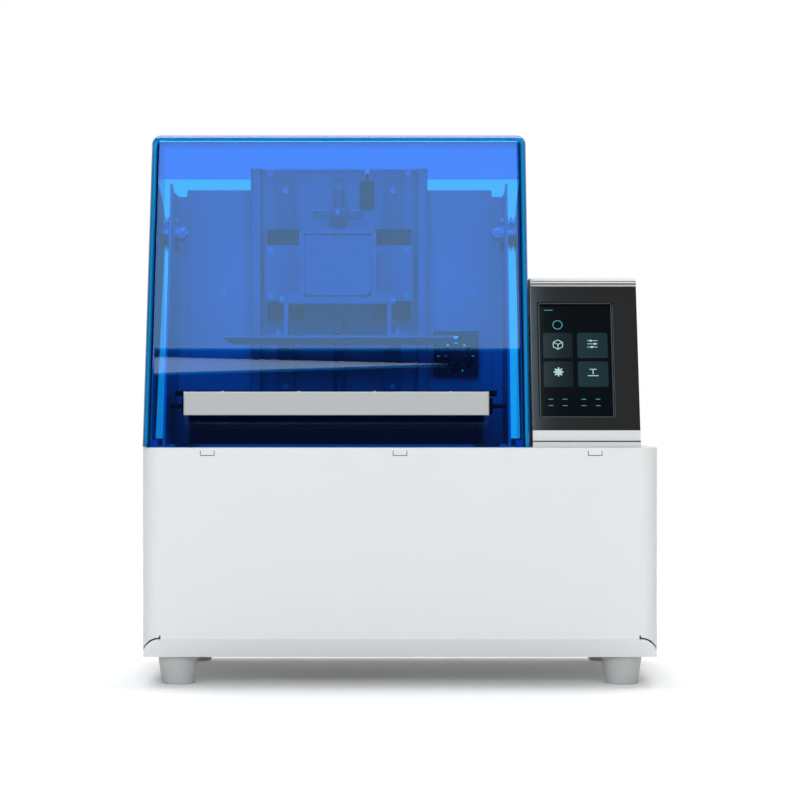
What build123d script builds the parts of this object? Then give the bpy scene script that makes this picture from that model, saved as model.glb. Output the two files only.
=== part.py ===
from build123d import *
import math
import os

# Desktop resin printer. Millimetres, +Z up, front face towards -Y.
# The origin is on the floor, under the middle of the body.
# Depths named *_yf are measured back from the front plane of the body.

os.makedirs("parts", exist_ok=True)

# ---------------------------------------------------------------- body sizes
WIDTH = 434.0
DEPTH = 330.0
FOOT_H = 24.0
SHELL_TOP = 198.5
SHEET = 2.0
CORNER_R = 14.5
DECK_T = 2.5
DECK_TOP = SHELL_TOP + DECK_T
SKIRT_H = 16.0
SKIRT_D = 14.5
SEAM = 1.3
TAB_W = 11.0
TAB_H = 3.8
TAB_GAP = 0.6
TAB_PITCH = 163.0
CLEAR = 0.2
PAN_T = 2.0

# ------------------------------------------------------------- chamber sizes
CX = -54.5
LID_X0 = -WIDTH / 2
LID_W = 327.0
LID_WALL = 4.5
LID_BOTTOM = DECK_TOP + 0.6
LID_TOP = 472.5
LID_FRONT_YF = 1.0
LID_CREST_YF = 114.0
LID_REAR_YF = 215.0
LID_SKIRT_Z = 440.0
LID_R = 8.0
PIVOT_YF = 164.0
PIVOT_Z = 388.0
PIN_R = 4.0
RUN_FIT = 0.05
DISC_R = 15.5
PLATE_T = 2.0
SIDE_GAP = 16.0
LID_PLATE_GAP = 0.2

# ---------------------------------------------------------- Z axis sizes
COLUMN_W = 158.0
COLUMN_YF = 198.0
COLUMN_T = 8.0
COLUMN_TOP = 448.0
SIDE_BAR_W = 9.5
SIDE_BAR_D = 12.0
WALL_YF = COLUMN_YF + COLUMN_T + 2.0
WALL_W = 274.0
WALL_TOP = 430.0
WALL_T = 1.5
WALL_RETURN = 8.5
RAIL_PITCH = 96.0
RAIL_W = 15.0
RAIL_D = 10.0
RAIL_Z0 = 206.0
RAIL_Z1 = 441.0
BLOCK_W = 32.0
BLOCK_L = 40.0
BLOCK_Z0 = 313.0
SCREW_R = 5.0
SCREW_YF = 189.0
SCREW_TOP = 440.0
CARRIAGE_W = 132.0
CARRIAGE_T = 6.0
CARRIAGE_Z0 = 329.0
CARRIAGE_H = 50.0

# ------------------------------------------------- arm and platform sizes
ARM_W = 58.0
ARM_Z0 = 332.4
ARM_Z1 = 385.0
ARM_FRONT_YF = 110.5
HANGER_WALL = 4.5
HANGER_GAP = 0.3
HANGER_L = 50.0
HANGER_FOOT = 9.5
BAR_T = 6.0
BRACKET_T = 3.5
BRACKET_H = 36.0
BRACKET_D = 40.0
PLATFORM_W = 199.0
PLATFORM_D = 104.0
PLATFORM_T = 6.3
PLATFORM_Z = 290.1
SCREEN_YF = 112.0
KNOB_R = 22.0
LOBE_R = 7.0
KNOB_H = 8.0
KNOB_Z = 400.0
HUB_R = 7.5

# ---------------------------------------------------------- vat and optics
SCREEN_W = 213.0
SCREEN_D = 116.0
GLASS_T = 0.8
LCD_T = 2.5
VAT_W = 252.0
VAT_RIM_W = 275.0
VAT_FRONT_YF = 46.0
VAT_LIP = 6.0
VAT_REAR_YF = 174.0
VAT_TOP = 249.0
VAT_RIM_T = 5.0
VAT_NOTCH = 4.5
VAT_INNER_R = 3.0
VAT_INNER_W = 214.0
VAT_INNER_D = 112.0
RING_T = 2.0
FILM_T = 0.4
CLAMP_Z = 235.5
CLAMP_YF = 100.0

# ------------------------------------------------------------ console sizes
CONSOLE_X0 = 112.0
CONSOLE_W = 91.0
CONSOLE_TOP = 346.0
CONSOLE_FRONT_YF = 9.0
CONSOLE_DEPTH_TOP = 62.0
CONSOLE_LEAN = 24.5
PANEL_Z0 = 214.8
PANEL_Z1 = 338.6
PANEL_T = 3.0
DISPLAY_W = 62.0
DISPLAY_L = 107.5

FAN_SIZE = 80.0
FAN_T = 25.0
SMALL_FAN = 40.0
SMALL_FAN_T = 10.0
MOTOR_W = 42.3
MOTOR_L = 48.0


def yb(depth_from_front):
    """Row Y of a depth measured back from the front plane."""
    return depth_from_front - DEPTH / 2


def block(x0, x1, y0, y1, z0, z1):
    """Box between two corners."""
    size = Box(x1 - x0, y1 - y0, z1 - z0)
    return Pos((x0 + x1) / 2, (y0 + y1) / 2, (z0 + z1) / 2) * size


def rod(radius, start, direction, length):
    """Cylinder from a start point along a direction."""
    plane = Plane(origin=start, z_dir=direction)
    return extrude(plane * Circle(radius), length)


def plate_yz(points, x0, x1):
    """Plate of constant section, outlined in (depth, height) and extruded along X."""
    outline = Polyline(*[(0, yb(d), z) for d, z in points], close=True)
    face = make_face(outline)
    return Pos(x0, 0, 0) * extrude(face, amount=x1 - x0, dir=(1, 0, 0))


def rounded_slab(w, d, radius, z0, z1, x=0.0, y=0.0):
    """Upright slab with rounded corners."""
    return extrude(Pos(x, y, z0) * RectangleRounded(w, d, radius), z1 - z0)


def common(first, second):
    """Volume that two solids share."""
    return first - (first - second)


def cap_screw(start, direction, head_r, head_h, shank_r, shank_l):
    """Screw with a round head standing on a face and a socket in the head."""
    axis = Vector(*direction).normalized()
    base = Vector(*start)
    head = rod(head_r, base, axis, head_h)
    socket = rod(head_r * 0.5, base + axis * (head_h * 0.45), axis, head_h)
    shank = rod(shank_r, base, axis * -1, shank_l)
    return (head - socket) + shank


def save(shape, node):
    export_step(shape, "parts/" + node + ".step")


def save_group(shapes, node):
    """Several separate solids in one node."""
    solids = []
    for shape in shapes:
        solids.extend(shape.solids())
    save(Compound(children=solids), node)


# ===================================================================== body
FRONT = yb(0)
BACK = yb(DEPTH)
REAR_OPEN_W = WIDTH - 62.0
REAR_OPEN_Z0 = FOOT_H + 12.0
REAR_OPEN_Z1 = SHELL_TOP - 12.0
TAB_CENTRES = [-TAB_PITCH + 1.0, 0.0, TAB_PITCH + 1.0]


def tab_block(width, height, depth):
    """The three upright tabs of the deck, at the front edge."""
    shapes = []
    for x in TAB_CENTRES:
        shapes.append(block(x - width / 2, x + width / 2, FRONT, FRONT + depth,
                            SHELL_TOP - height, SHELL_TOP))
    return shapes


def skirt_region(grow):
    """Front-view outline of the bent-back skirt: quarter ellipses at both ends."""
    centre = WIDTH / 2 - CORNER_R
    a = CORNER_R + grow
    b = SKIRT_H + grow
    middle = block(-centre, centre, FRONT - 1, FRONT + SKIRT_D + 4, FOOT_H - 1, FOOT_H + b)
    region = middle
    for side in (-1, 1):
        oval = Pos(side * centre, FRONT - 1, FOOT_H) * Rot(90, 0, 0) * Ellipse(a, b)
        region += extrude(oval, amount=SKIRT_D + 5, dir=(0, 1, 0))
    return region


def body_shell():
    outer = rounded_slab(WIDTH, DEPTH, CORNER_R, FOOT_H, SHELL_TOP)
    inner = rounded_slab(WIDTH - 2 * SHEET, DEPTH - 2 * SHEET, CORNER_R - SHEET,
                         FOOT_H - 1, SHELL_TOP + 1)
    skirt_slope = [(-5, FOOT_H + SKIRT_H), (0, FOOT_H + SKIRT_H), (SKIRT_D, FOOT_H),
                   (SKIRT_D, FOOT_H - 5), (-5, FOOT_H - 5)]
    wedge = plate_yz(skirt_slope, -WIDTH, WIDTH)
    zone = block(-WIDTH, WIDTH, FRONT - 2, FRONT + SKIRT_D + 6, FOOT_H - 3,
                 FOOT_H + SKIRT_H + SEAM)
    walls = outer - inner - common(wedge + skirt_region(SEAM), zone)
    slope_len = math.hypot(SKIRT_D, SKIRT_H)
    lift = SHEET * slope_len / SKIRT_D
    strip = plate_yz([(0, FOOT_H + SKIRT_H), (SKIRT_D, FOOT_H), (SKIRT_D, FOOT_H + lift),
                      (SHEET, FOOT_H + SKIRT_H + 1.2), (SHEET, FOOT_H + SKIRT_H + SEAM + 1),
                      (0, FOOT_H + SKIRT_H + SEAM + 1)], -WIDTH / 2, WIDTH / 2)
    flat_end = WIDTH / 2 - CORNER_R
    neck = block(-flat_end + SEAM, flat_end - SEAM, FRONT - 1, FRONT + SKIRT_D + 6,
                 FOOT_H, FOOT_H + SKIRT_H + SEAM + 2)
    strip = common(strip, skirt_region(0.0) + neck)
    shell = walls + strip
    for side in (-1, 1):
        x = side * (flat_end - SEAM / 2)
        shell -= block(x - SEAM / 2, x + SEAM / 2, FRONT - 1, FRONT + SHEET + 1,
                       FOOT_H + SKIRT_H - 1.0, FOOT_H + SKIRT_H + 3.2)
    for notch in tab_block(TAB_W + 2 * TAB_GAP, TAB_H + TAB_GAP, SHEET + 1):
        shell -= notch
    shell -= block(-REAR_OPEN_W / 2, REAR_OPEN_W / 2, BACK - SHEET - 1, BACK + 1,
                   REAR_OPEN_Z0, REAR_OPEN_Z1)
    for side in (-1, 1):
        for i in range(12):
            y = 60.0 + i * 7.0
            x = side * WIDTH / 2
            slot = Pos(x, y, 74.0) * Rot(0, 90, 0) * SlotCenterToCenter(34.0, 3.0)
            shell -= extrude(slot, amount=6.0, both=True)
    for x, z in PANEL_SCREWS:
        shell -= rod(3.0, (x, BACK + 1, z), (0, -1, 0), SHEET + 2)
    return shell


PANEL_SCREWS = []
for px in (-(REAR_OPEN_W / 2 + 5), 0.0, REAR_OPEN_W / 2 + 5):
    for pz in (REAR_OPEN_Z0 - 5, REAR_OPEN_Z1 + 5):
        PANEL_SCREWS.append((px, pz))

FEET = []
for fx in (-188.5, 188.5):
    for fy in (36.0, 292.0):
        FEET.append((fx * WIDTH / 434.0, yb(fy * DEPTH / 330.0)))
FOOT_TOP_R = 17.2
FOOT_BOTTOM_R = 13.8
FOOT_SCREW_R = 2.5
FOOT_POCKET = 8.0


def foot(x, y):
    body = Pos(x, y, FOOT_H / 2) * Cone(FOOT_BOTTOM_R, FOOT_TOP_R, FOOT_H)
    body = fillet(body.edges().sort_by(Axis.Z)[0], 2.0)
    body -= rod(6.0, (x, y, -1), (0, 0, 1), FOOT_POCKET + 1)
    return body - rod(FOOT_SCREW_R + 0.1, (x, y, 0), (0, 0, 1), FOOT_H + 1)


def base_pan():
    inset = SHEET + CLEAR
    front_yf = SKIRT_D + 3.0
    pan = rounded_slab(WIDTH - 2 * inset, DEPTH - 2 * inset, CORNER_R - inset,
                       FOOT_H, FOOT_H + 14.0)
    hollow = rounded_slab(WIDTH - 2 * inset - 2 * PAN_T, DEPTH - 2 * inset - 2 * PAN_T,
                          CORNER_R - inset - PAN_T, FOOT_H + PAN_T, FOOT_H + 20)
    pan -= hollow
    pan -= block(-WIDTH, WIDTH, FRONT - 1, yb(front_yf), FOOT_H - 1, FOOT_H + 30)
    pan -= block(-REAR_OPEN_W / 2 - 12, REAR_OPEN_W / 2 + 12, BACK - 9, BACK + 1,
                 FOOT_H + PAN_T, FOOT_H + 30)
    for x, y in FEET:
        pan -= rod(FOOT_SCREW_R + 0.1, (x, y, FOOT_H - 1), (0, 0, 1), 5)
    for i in range(9):
        x = CX - 40.0 + i * 10.0
        slot = Pos(x, yb(SCREEN_YF), FOOT_H) * Rot(0, 0, 90) * SlotCenterToCenter(60.0, 5.0)
        pan -= extrude(slot, amount=8.0, both=True)
    return pan


def chassis_screws():
    """Screws of the four feet and of the rear panel."""
    screws = []
    for x, y in FEET:
        screws.append(cap_screw((x, y, FOOT_POCKET), (0, 0, -1), 4.6, 3.0, FOOT_SCREW_R,
                                FOOT_H + PAN_T - FOOT_POCKET))
    for x, z in PANEL_SCREWS:
        screws.append(cap_screw((x, PANEL_FACE, z), (0, 1, 0), 2.8, SHEET - 0.1, 1.5, 6.0))
    return screws


# Openings of the rear panel, (x, z) of each centre.
INLET_AT = (150.0, 70.0)
SWITCH_AT = (150.0, 112.0)
PORTS_AT = (104.0, 66.0)
EXHAUST_AT = (CX, 108.0)
INLET_W, INLET_H = 27.4, 19.6
SWITCH_W, SWITCH_H = 13.0, 19.6
PORT_SIZES = [(14.0, 7.0), (17.0, 14.5)]
PANEL_SHEET = 1.5
PANEL_FACE = BACK - SHEET


def rear_panel():
    panel = block(-REAR_OPEN_W / 2 - 10, REAR_OPEN_W / 2 + 10, PANEL_FACE - PANEL_SHEET,
                  PANEL_FACE, REAR_OPEN_Z0 - 9.5, REAR_OPEN_Z1 + 9.5)
    x, z = INLET_AT
    panel -= block(x - INLET_W / 2, x + INLET_W / 2, 0, BACK, z - INLET_H / 2, z + INLET_H / 2)
    x, z = SWITCH_AT
    panel -= block(x - SWITCH_W / 2, x + SWITCH_W / 2, 0, BACK, z - SWITCH_H / 2,
                   z + SWITCH_H / 2)
    for (w, h), dx in zip(PORT_SIZES, (-11.0, 9.0)):
        x, z = PORTS_AT
        panel -= block(x + dx - w / 2, x + dx + w / 2, 0, BACK, z - h / 2, z + h / 2)
    panel -= rod(FAN_SIZE / 2 - 2, (EXHAUST_AT[0], BACK, EXHAUST_AT[1]), (0, -1, 0), 10)
    for px, pz in PANEL_SCREWS:
        panel -= rod(1.6, (px, BACK, pz), (0, -1, 0), 10)
    for i in range(10):
        x = -172.0 + i * 7.0
        slot = Pos(x, BACK - 3, 108.0) * Rot(90, 0, 0) * Rot(0, 0, 90)
        panel -= extrude(slot * SlotCenterToCenter(52.0, 3.2), amount=8.0, both=True)
    return panel


def power_inlet():
    x, z = INLET_AT
    y1 = PANEL_FACE
    flange = block(x - 19, x + 19, y1, y1 + 1.9, z - 12.5, z + 12.5)
    body = block(x - INLET_W / 2 + 0.2, x + INLET_W / 2 - 0.2, y1 - 20, y1,
                 z - INLET_H / 2 + 0.2, z + INLET_H / 2 - 0.2)
    cavity = block(x - 12, x + 12, y1 - 16, y1 + 3, z - 8, z + 8)
    tongue = block(x - 8, x + 8, y1 - 17, y1 - 1, z - 4, z + 4)
    return (flange + body) - cavity + tongue


def inlet_pins():
    x, z = INLET_AT
    pins = []
    for dx, dz in ((-7, 2.0), (0, -2.0), (7, 2.0)):
        pins.append(block(x + dx - 1, x + dx + 1, PANEL_FACE - 24, PANEL_FACE - 20,
                          z + dz - 2, z + dz + 2))
    return pins


ROCKER_R = 7.4
ROCKER_W = 9.0


def switch_bezel():
    x, z = SWITCH_AT
    y1 = PANEL_FACE
    flange = block(x - 8, x + 8, y1, y1 + 1.6, z - 12, z + 12)
    body = block(x - SWITCH_W / 2 + 0.2, x + SWITCH_W / 2 - 0.2, y1 - 16, y1,
                 z - SWITCH_H / 2 + 0.2, z + SWITCH_H / 2 - 0.2)
    well = block(x - ROCKER_W / 2 - 0.3, x + ROCKER_W / 2 + 0.3, y1 - 13, y1 + 3,
                 z - ROCKER_R - 0.6, z + ROCKER_R + 0.6)
    return (flange + body) - well


def power_rocker():
    """Rocker: a round body cut by two flats that meet in a shallow V, one end pressed in."""
    x, z = SWITCH_AT
    y0 = PANEL_FACE - 4.0
    drum = rod(ROCKER_R, (x - ROCKER_W / 2, y0, z), (1, 0, 0), ROCKER_W)
    low = block(x - 20, x + 20, y0 + 4.2, y0 + 30, z - 30, z + 30)
    flat_a = Pos(0, y0 + 3.2, z) * Rot(-14, 0, 0) * Pos(0, 15, 0) * Box(400, 30, 60)
    return drum - low - flat_a


def data_ports():
    shapes = []
    for (w, h), dx in zip(PORT_SIZES, (-11.0, 9.0)):
        x, z = PORTS_AT
        x += dx
        y1 = PANEL_FACE
        shell = block(x - w / 2 + 0.2, x + w / 2 - 0.2, y1 - 16, y1 + 0.6,
                      z - h / 2 + 0.2, z + h / 2 - 0.2)
        cavity = block(x - w / 2 + 0.9, x + w / 2 - 0.9, y1 - 13, y1 + 2,
                       z - h / 2 + 0.9, z + h / 2 - 0.9)
        tongue = block(x - w / 2 + 2.5, x + w / 2 - 2.5, y1 - 14, y1 - 2, z - 0.2, z + 1.4)
        shapes.append(shell - cavity + tongue)
    return shapes


# ===================================================================== fans
def fan_frame(size, thick, hub_r, axis_plane):
    """Square fan frame: round bore, corner holes and three struts to the motor hub."""
    frame = extrude(RectangleRounded(size, size, size * 0.05), thick)
    bore_r = size / 2 - size * 0.03
    frame -= Pos(0, 0, -1) * extrude(Circle(bore_r), thick + 2)
    corner = size / 2 - size * 0.055
    for sx in (-1, 1):
        for sy in (-1, 1):
            frame -= Pos(sx * corner, sy * corner, -1) * extrude(Circle(size * 0.022), thick + 2)
    hub = extrude(Circle(hub_r), thick * 0.14)
    for i in range(3):
        strut = Rot(0, 0, 120 * i + 30) * Pos(bore_r / 2 + 0.5, 0, thick * 0.07)
        hub += strut * Box(bore_r, size * 0.05, thick * 0.14)
    frame += common(hub, extrude(Circle(bore_r + 1), thick))
    return axis_plane * frame


def fan_rotor(size, thick, hub_r, blades, axis_plane):
    """Rotor: hub cup and pitched blades, clear of the frame's bore and hub plate."""
    z0 = thick * 0.14 + 0.4
    height = thick - z0 - 0.5
    rotor = Pos(0, 0, z0) * extrude(Circle(hub_r), height)
    tip = size / 2 - size * 0.03 - 0.9
    span = tip - hub_r + 1.0
    for i in range(blades):
        blade = Pos(hub_r - 1.0 + span / 2, 0, z0 + height / 2) * Rot(38, 0, 0)
        blade = blade * Box(span, height * 0.95, max(1.0, size * 0.016))
        rotor += Rot(0, 0, 360.0 * i / blades) * blade
    keep = Pos(0, 0, z0) * extrude(Circle(tip), height)
    return axis_plane * common(rotor, keep)


EXHAUST_PLANE = Plane(origin=(EXHAUST_AT[0], PANEL_FACE - PANEL_SHEET - FAN_T, EXHAUST_AT[1]),
                      x_dir=(1, 0, 0), z_dir=(0, 1, 0)).location


def exhaust_guard():
    """Wire finger guard: four rings on a crossed pair of bars."""
    x, z = EXHAUST_AT
    y = PANEL_FACE + 0.9
    guard = None
    for r in (12.0, 20.0, 28.0, 36.0):
        ring = Pos(x, y, z) * Rot(90, 0, 0) * Torus(r, 0.8)
        guard = ring if guard is None else guard + ring
    for angle in (45, 135):
        direction = (math.cos(math.radians(angle)), 0, math.sin(math.radians(angle)))
        start = (x - 50 * direction[0], y, z - 50 * direction[2])
        guard += rod(0.8, start, direction, 100.0)
    return guard


# ============================================================ deck and optics
def deck_plate():
    deck = rounded_slab(WIDTH, DEPTH, CORNER_R, SHELL_TOP, DECK_TOP)
    deck -= block(CX - SCREEN_W / 2 - CLEAR, CX + SCREEN_W / 2 + CLEAR,
                  yb(SCREEN_YF - SCREEN_D / 2 - CLEAR), yb(SCREEN_YF + SCREEN_D / 2 + CLEAR),
                  SHELL_TOP - 1, DECK_TOP + 1)
    deck -= rod(SCREW_R + 2.0, (CX, yb(SCREW_YF), SHELL_TOP - 1), (0, 0, 1), 10)
    deck -= rod(2.6, (CABLE_X, yb(CABLE_YF), SHELL_TOP - 1), (0, 0, 1), 10)
    for tab in tab_block(TAB_W, TAB_H, SHEET):
        deck += tab
    return deck


TRAY_T = 6.0
TRAY_Z0 = SHELL_TOP - TRAY_T


def lcd_tray():
    half_w = SCREEN_W / 2
    half_d = SCREEN_D / 2
    y = yb(SCREEN_YF)
    tray = block(CX - half_w - 10, CX + half_w + 10, y - half_d - 8, y + half_d + 6,
                 TRAY_Z0, SHELL_TOP)
    pocket_z = DECK_TOP - GLASS_T - LCD_T
    tray -= block(CX - half_w - CLEAR, CX + half_w + CLEAR, y - half_d - CLEAR,
                  y + half_d + CLEAR, pocket_z, SHELL_TOP + 1)
    tray -= block(CX - half_w + 6, CX + half_w - 6, y - half_d + 6, y + half_d - 6,
                  TRAY_Z0 - 1, SHELL_TOP)
    tray -= rod(SCREW_R + 2.0, (CX, yb(SCREW_YF), TRAY_Z0 - 1), (0, 0, 1), 20)
    return tray


def lcd_panel():
    y = yb(SCREEN_YF)
    return block(CX - SCREEN_W / 2, CX + SCREEN_W / 2, y - SCREEN_D / 2, y + SCREEN_D / 2,
                 DECK_TOP - GLASS_T - LCD_T, DECK_TOP - GLASS_T)


def screen_glass():
    y = yb(SCREEN_YF)
    return block(CX - SCREEN_W / 2, CX + SCREEN_W / 2, y - SCREEN_D / 2, y + SCREEN_D / 2,
                 DECK_TOP - GLASS_T, DECK_TOP)


LED_W = 150.0
LED_D = 76.0
LED_Z = 88.0
LED_T = 2.0
LENS_T = 3.0
FUNNEL_WALL = 2.0


def light_funnel():
    y = yb(SCREEN_YF)
    z0 = LED_Z + LED_T
    z1 = TRAY_Z0 - LENS_T
    low = Plane.XY.offset(z0) * Pos(CX, y) * Rectangle(LED_W, LED_D)
    high = Plane.XY.offset(z1) * Pos(CX, y) * Rectangle(SCREEN_W, SCREEN_D - 6)
    low_in = Plane.XY.offset(z0) * Pos(CX, y) * Rectangle(LED_W - 2 * FUNNEL_WALL,
                                                          LED_D - 2 * FUNNEL_WALL)
    high_in = Plane.XY.offset(z1) * Pos(CX, y) * Rectangle(SCREEN_W - 2 * FUNNEL_WALL,
                                                           SCREEN_D - 6 - 2 * FUNNEL_WALL)
    return loft([low.face(), high.face()]) - loft([low_in.face(), high_in.face()])


def collimating_lens():
    y = yb(SCREEN_YF)
    z1 = TRAY_Z0
    return block(CX - SCREEN_W / 2, CX + SCREEN_W / 2, y - SCREEN_D / 2 + 3,
                 y + SCREEN_D / 2 - 3, z1 - LENS_T, z1)


def led_board():
    y = yb(SCREEN_YF)
    return block(CX - LED_W / 2, CX + LED_W / 2, y - LED_D / 2, y + LED_D / 2,
                 LED_Z, LED_Z + LED_T)


def led_emitters():
    shapes = []
    for i in range(7):
        for j in range(4):
            x = CX + (i - 3) * 19.0
            y = yb(SCREEN_YF) + (j - 1.5) * 16.0
            dome = Pos(x, y, LED_Z + LED_T) * Sphere(2.6)
            shapes.append(dome - block(x - 5, x + 5, y - 5, y + 5, LED_Z + LED_T - 5,
                                       LED_Z + LED_T))
    return shapes


SINK_H = 30.0


def heat_sink():
    y = yb(SCREEN_YF)
    z1 = LED_Z
    sink = block(CX - LED_W / 2, CX + LED_W / 2, y - LED_D / 2, y + LED_D / 2, z1 - SINK_H, z1)
    pitch = LED_W / 21.0
    for i in range(21):
        x = CX - LED_W / 2 + (i + 0.5) * pitch
        sink -= block(x - pitch * 0.32, x + pitch * 0.32, y - LED_D, y + LED_D,
                      z1 - SINK_H - 1, z1 - 6.0)
    return sink


LED_FAN_PLANE = Pos(CX, yb(SCREEN_YF), LED_Z - SINK_H - FAN_T)


# ======================================================= electronics and motor
BOARD_Z = FOOT_H + PAN_T + 6.0


def mainboard():
    x0, x1 = WIDTH / 2 - 168.0, WIDTH / 2 - 18.0
    y0, y1 = yb(60), yb(170)
    shapes = [block(x0, x1, y0, y1, BOARD_Z, BOARD_Z + 1.6)]
    for sx in (x0 + 6, x1 - 6):
        for sy in (y0 + 6, y1 - 6):
            shapes.append(rod(3.0, (sx, sy, FOOT_H + PAN_T), (0, 0, 1), BOARD_Z - FOOT_H - PAN_T))
    return shapes


def mainboard_parts():
    x0 = WIDTH / 2 - 168.0
    top = BOARD_Z + 1.6
    shapes = []
    for dx, dy, w, d, h in ((30, 40, 18, 18, 2), (70, 60, 24, 24, 9), (110, 30, 14, 14, 1.5),
                            (20, 90, 30, 12, 10), (90, 94, 40, 9, 10), (125, 75, 12, 20, 8)):
        shapes.append(block(x0 + dx - w / 2, x0 + dx + w / 2, yb(60 + dy) - d / 2,
                            yb(60 + dy) + d / 2, top, top + h))
    for i in range(4):
        shapes.append(rod(4.0, (x0 + 50 + 12 * i, yb(68), top), (0, 0, 1), 12.0))
    return shapes


SUPPLY = (-200.0, -60.0, 215.0, 300.0, 42.0)


def power_supply():
    x0, x1, d0, d1, h = SUPPLY
    z0 = FOOT_H + PAN_T
    case = block(x0, x1, yb(d0), yb(d1), z0, z0 + h)
    case -= block(x0 - 1, x0 + 14, yb(d0) + 2, yb(d1) - 2, z0 + 14, z0 + h + 1)
    for i in range(14):
        for j in range(7):
            case -= rod(2.0, (x0 + 26 + i * 8, yb(d0) + 14 + j * 9.5, z0 + h - 3), (0, 0, 1), 6)
    return case


MOTOR_TOP = 110.0
HANGER_T = 3.0


def z_motor():
    y = yb(SCREW_YF)
    body = block(CX - MOTOR_W / 2, CX + MOTOR_W / 2, y - MOTOR_W / 2, y + MOTOR_W / 2,
                 MOTOR_TOP - MOTOR_L, MOTOR_TOP)
    body = chamfer(body.edges().filter_by(Axis.Z), 4.0)
    boss = rod(11.0, (CX, y, MOTOR_TOP), (0, 0, 1), 2.0)
    bore = rod(2.5 + RUN_FIT, (CX, y, MOTOR_TOP - 20), (0, 0, 1), 30)
    return body + boss - bore


def motor_hanger():
    y = yb(SCREW_YF)
    wall_y = y + MOTOR_W / 2 + 2.0
    shelf = block(CX - 26, CX + 26, y - MOTOR_W / 2, wall_y + HANGER_T, MOTOR_TOP,
                  MOTOR_TOP + HANGER_T)
    shelf += block(CX - 26, CX + 26, wall_y, wall_y + HANGER_T, MOTOR_TOP, SHELL_TOP)
    shelf += block(CX - 26, CX + 26, wall_y, wall_y + 20, SHELL_TOP - HANGER_T, SHELL_TOP)
    shelf -= rod(11.2, (CX, y, MOTOR_TOP - 1), (0, 0, 1), 6)
    for sx in (-15.5, 15.5):
        for sy in (-15.5, 15.5):
            shelf -= rod(1.6, (CX + sx, y + sy, MOTOR_TOP - 1), (0, 0, 1), 6)
    shelf -= rod(2.6, (CABLE_X, yb(CABLE_YF), SHELL_TOP - 20), (0, 0, 1), 30)
    return shelf


def screw_bearing():
    """Flanged bearing housing on the deck that carries the foot of the lead screw."""
    y = yb(SCREW_YF)
    housing = rod(11.0, (CX, y, DECK_TOP + 3), (0, 0, 1), 5.0)
    base = block(CX - 20, CX + 20, y - 3.5, y + 8.0, DECK_TOP, DECK_TOP + 3)
    housing = common(housing, block(CX - 12, CX + 12, y - 3.5, y + 8.0, 0, 300))
    bore = rod(SCREW_R + RUN_FIT, (CX, y, DECK_TOP - 1), (0, 0, 1), 20)
    return housing + base - bore


# =================================================================== Z column
CABLE_X = CX + 25.0
CABLE_YF = COLUMN_YF + COLUMN_T - 1.5
CABLE_R = 1.5
CABLE_Z = 443.0


def z_column():
    half = COLUMN_W / 2
    column = block(CX - half, CX + half, yb(COLUMN_YF), yb(COLUMN_YF + COLUMN_T),
                   DECK_TOP, COLUMN_TOP)
    for side in (-1, 1):
        x = CX + side * (half - SIDE_BAR_W / 2)
        bar = block(x - SIDE_BAR_W / 2, x + SIDE_BAR_W / 2, yb(COLUMN_YF - SIDE_BAR_D),
                    yb(COLUMN_YF + COLUMN_T), DECK_TOP, COLUMN_TOP)
        column += chamfer(bar.edges().filter_by(Axis.Z).sort_by(Axis.Y)[:2], 1.2)
    groove_w = 2 * CABLE_R + 1.0
    column -= block(CABLE_X - groove_w / 2, CABLE_X + groove_w / 2, yb(CABLE_YF - CABLE_R - 0.5),
                    yb(COLUMN_YF + COLUMN_T) + 1, DECK_TOP - 1, COLUMN_TOP + 1)
    column -= block(CABLE_X - groove_w / 2, CABLE_X + groove_w / 2, yb(COLUMN_YF) - 1,
                    yb(COLUMN_YF + COLUMN_T) + 1, CABLE_Z - 2.5, COLUMN_TOP + 1)
    column -= block(CX - 20.3, CX + 20.3, yb(COLUMN_YF) - 1, yb(SCREW_YF + 8.3), DECK_TOP - 1,
                    DECK_TOP + 9)
    for x, z in COLUMN_SCREWS:
        column -= rod(1.9, (x, yb(COLUMN_YF) - 1, z), (0, 1, 0), 30)
    for x, z in RAIL_SCREWS:
        column -= rod(1.4, (x, yb(COLUMN_YF) - 1, z), (0, 1, 0), 7)
    return column


COLUMN_SCREWS = []
for cx in (CX - COLUMN_W / 2 + 17.0, CX + COLUMN_W / 2 - 17.0):
    for cz in (DECK_TOP + 14.0, COLUMN_TOP - 3.6):
        COLUMN_SCREWS.append((cx, cz))

RAIL_SCREWS = []
RAIL_SCREW_TOP = 428.6
RAIL_SCREW_STEP = 58.4
for rx in (CX - RAIL_PITCH / 2, CX + RAIL_PITCH / 2):
    for ri in range(4):
        RAIL_SCREWS.append((rx, RAIL_SCREW_TOP - ri * RAIL_SCREW_STEP))


def linear_rails():
    shapes = []
    for x in (CX - RAIL_PITCH / 2, CX + RAIL_PITCH / 2):
        rail = block(x - RAIL_W / 2, x + RAIL_W / 2, yb(COLUMN_YF - RAIL_D), yb(COLUMN_YF),
                     RAIL_Z0, RAIL_Z1)
        for side in (-1, 1):
            gx = x + side * RAIL_W / 2
            rail -= rod(1.6, (gx, yb(COLUMN_YF - RAIL_D + 4), RAIL_Z0 - 1), (0, 0, 1), 300)
        for sx, z in RAIL_SCREWS:
            if abs(sx - x) < 1:
                rail -= rod(3.1, (x, yb(COLUMN_YF - RAIL_D) - 1, z), (0, 1, 0), 4.5)
                rail -= rod(1.6, (x, yb(COLUMN_YF - RAIL_D) - 1, z), (0, 1, 0), 30)
        shapes.append(rail)
    return shapes


def rail_screws():
    return [cap_screw((x, yb(COLUMN_YF - RAIL_D) + 3.5, z), (0, -1, 0), 2.9, 2.7, 1.35, 11.5)
            for x, z in RAIL_SCREWS]


def column_screws():
    return [cap_screw((x, yb(COLUMN_YF), z), (0, -1, 0), 3.3, 2.4, 1.85, 9.4)
            for x, z in COLUMN_SCREWS]


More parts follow.
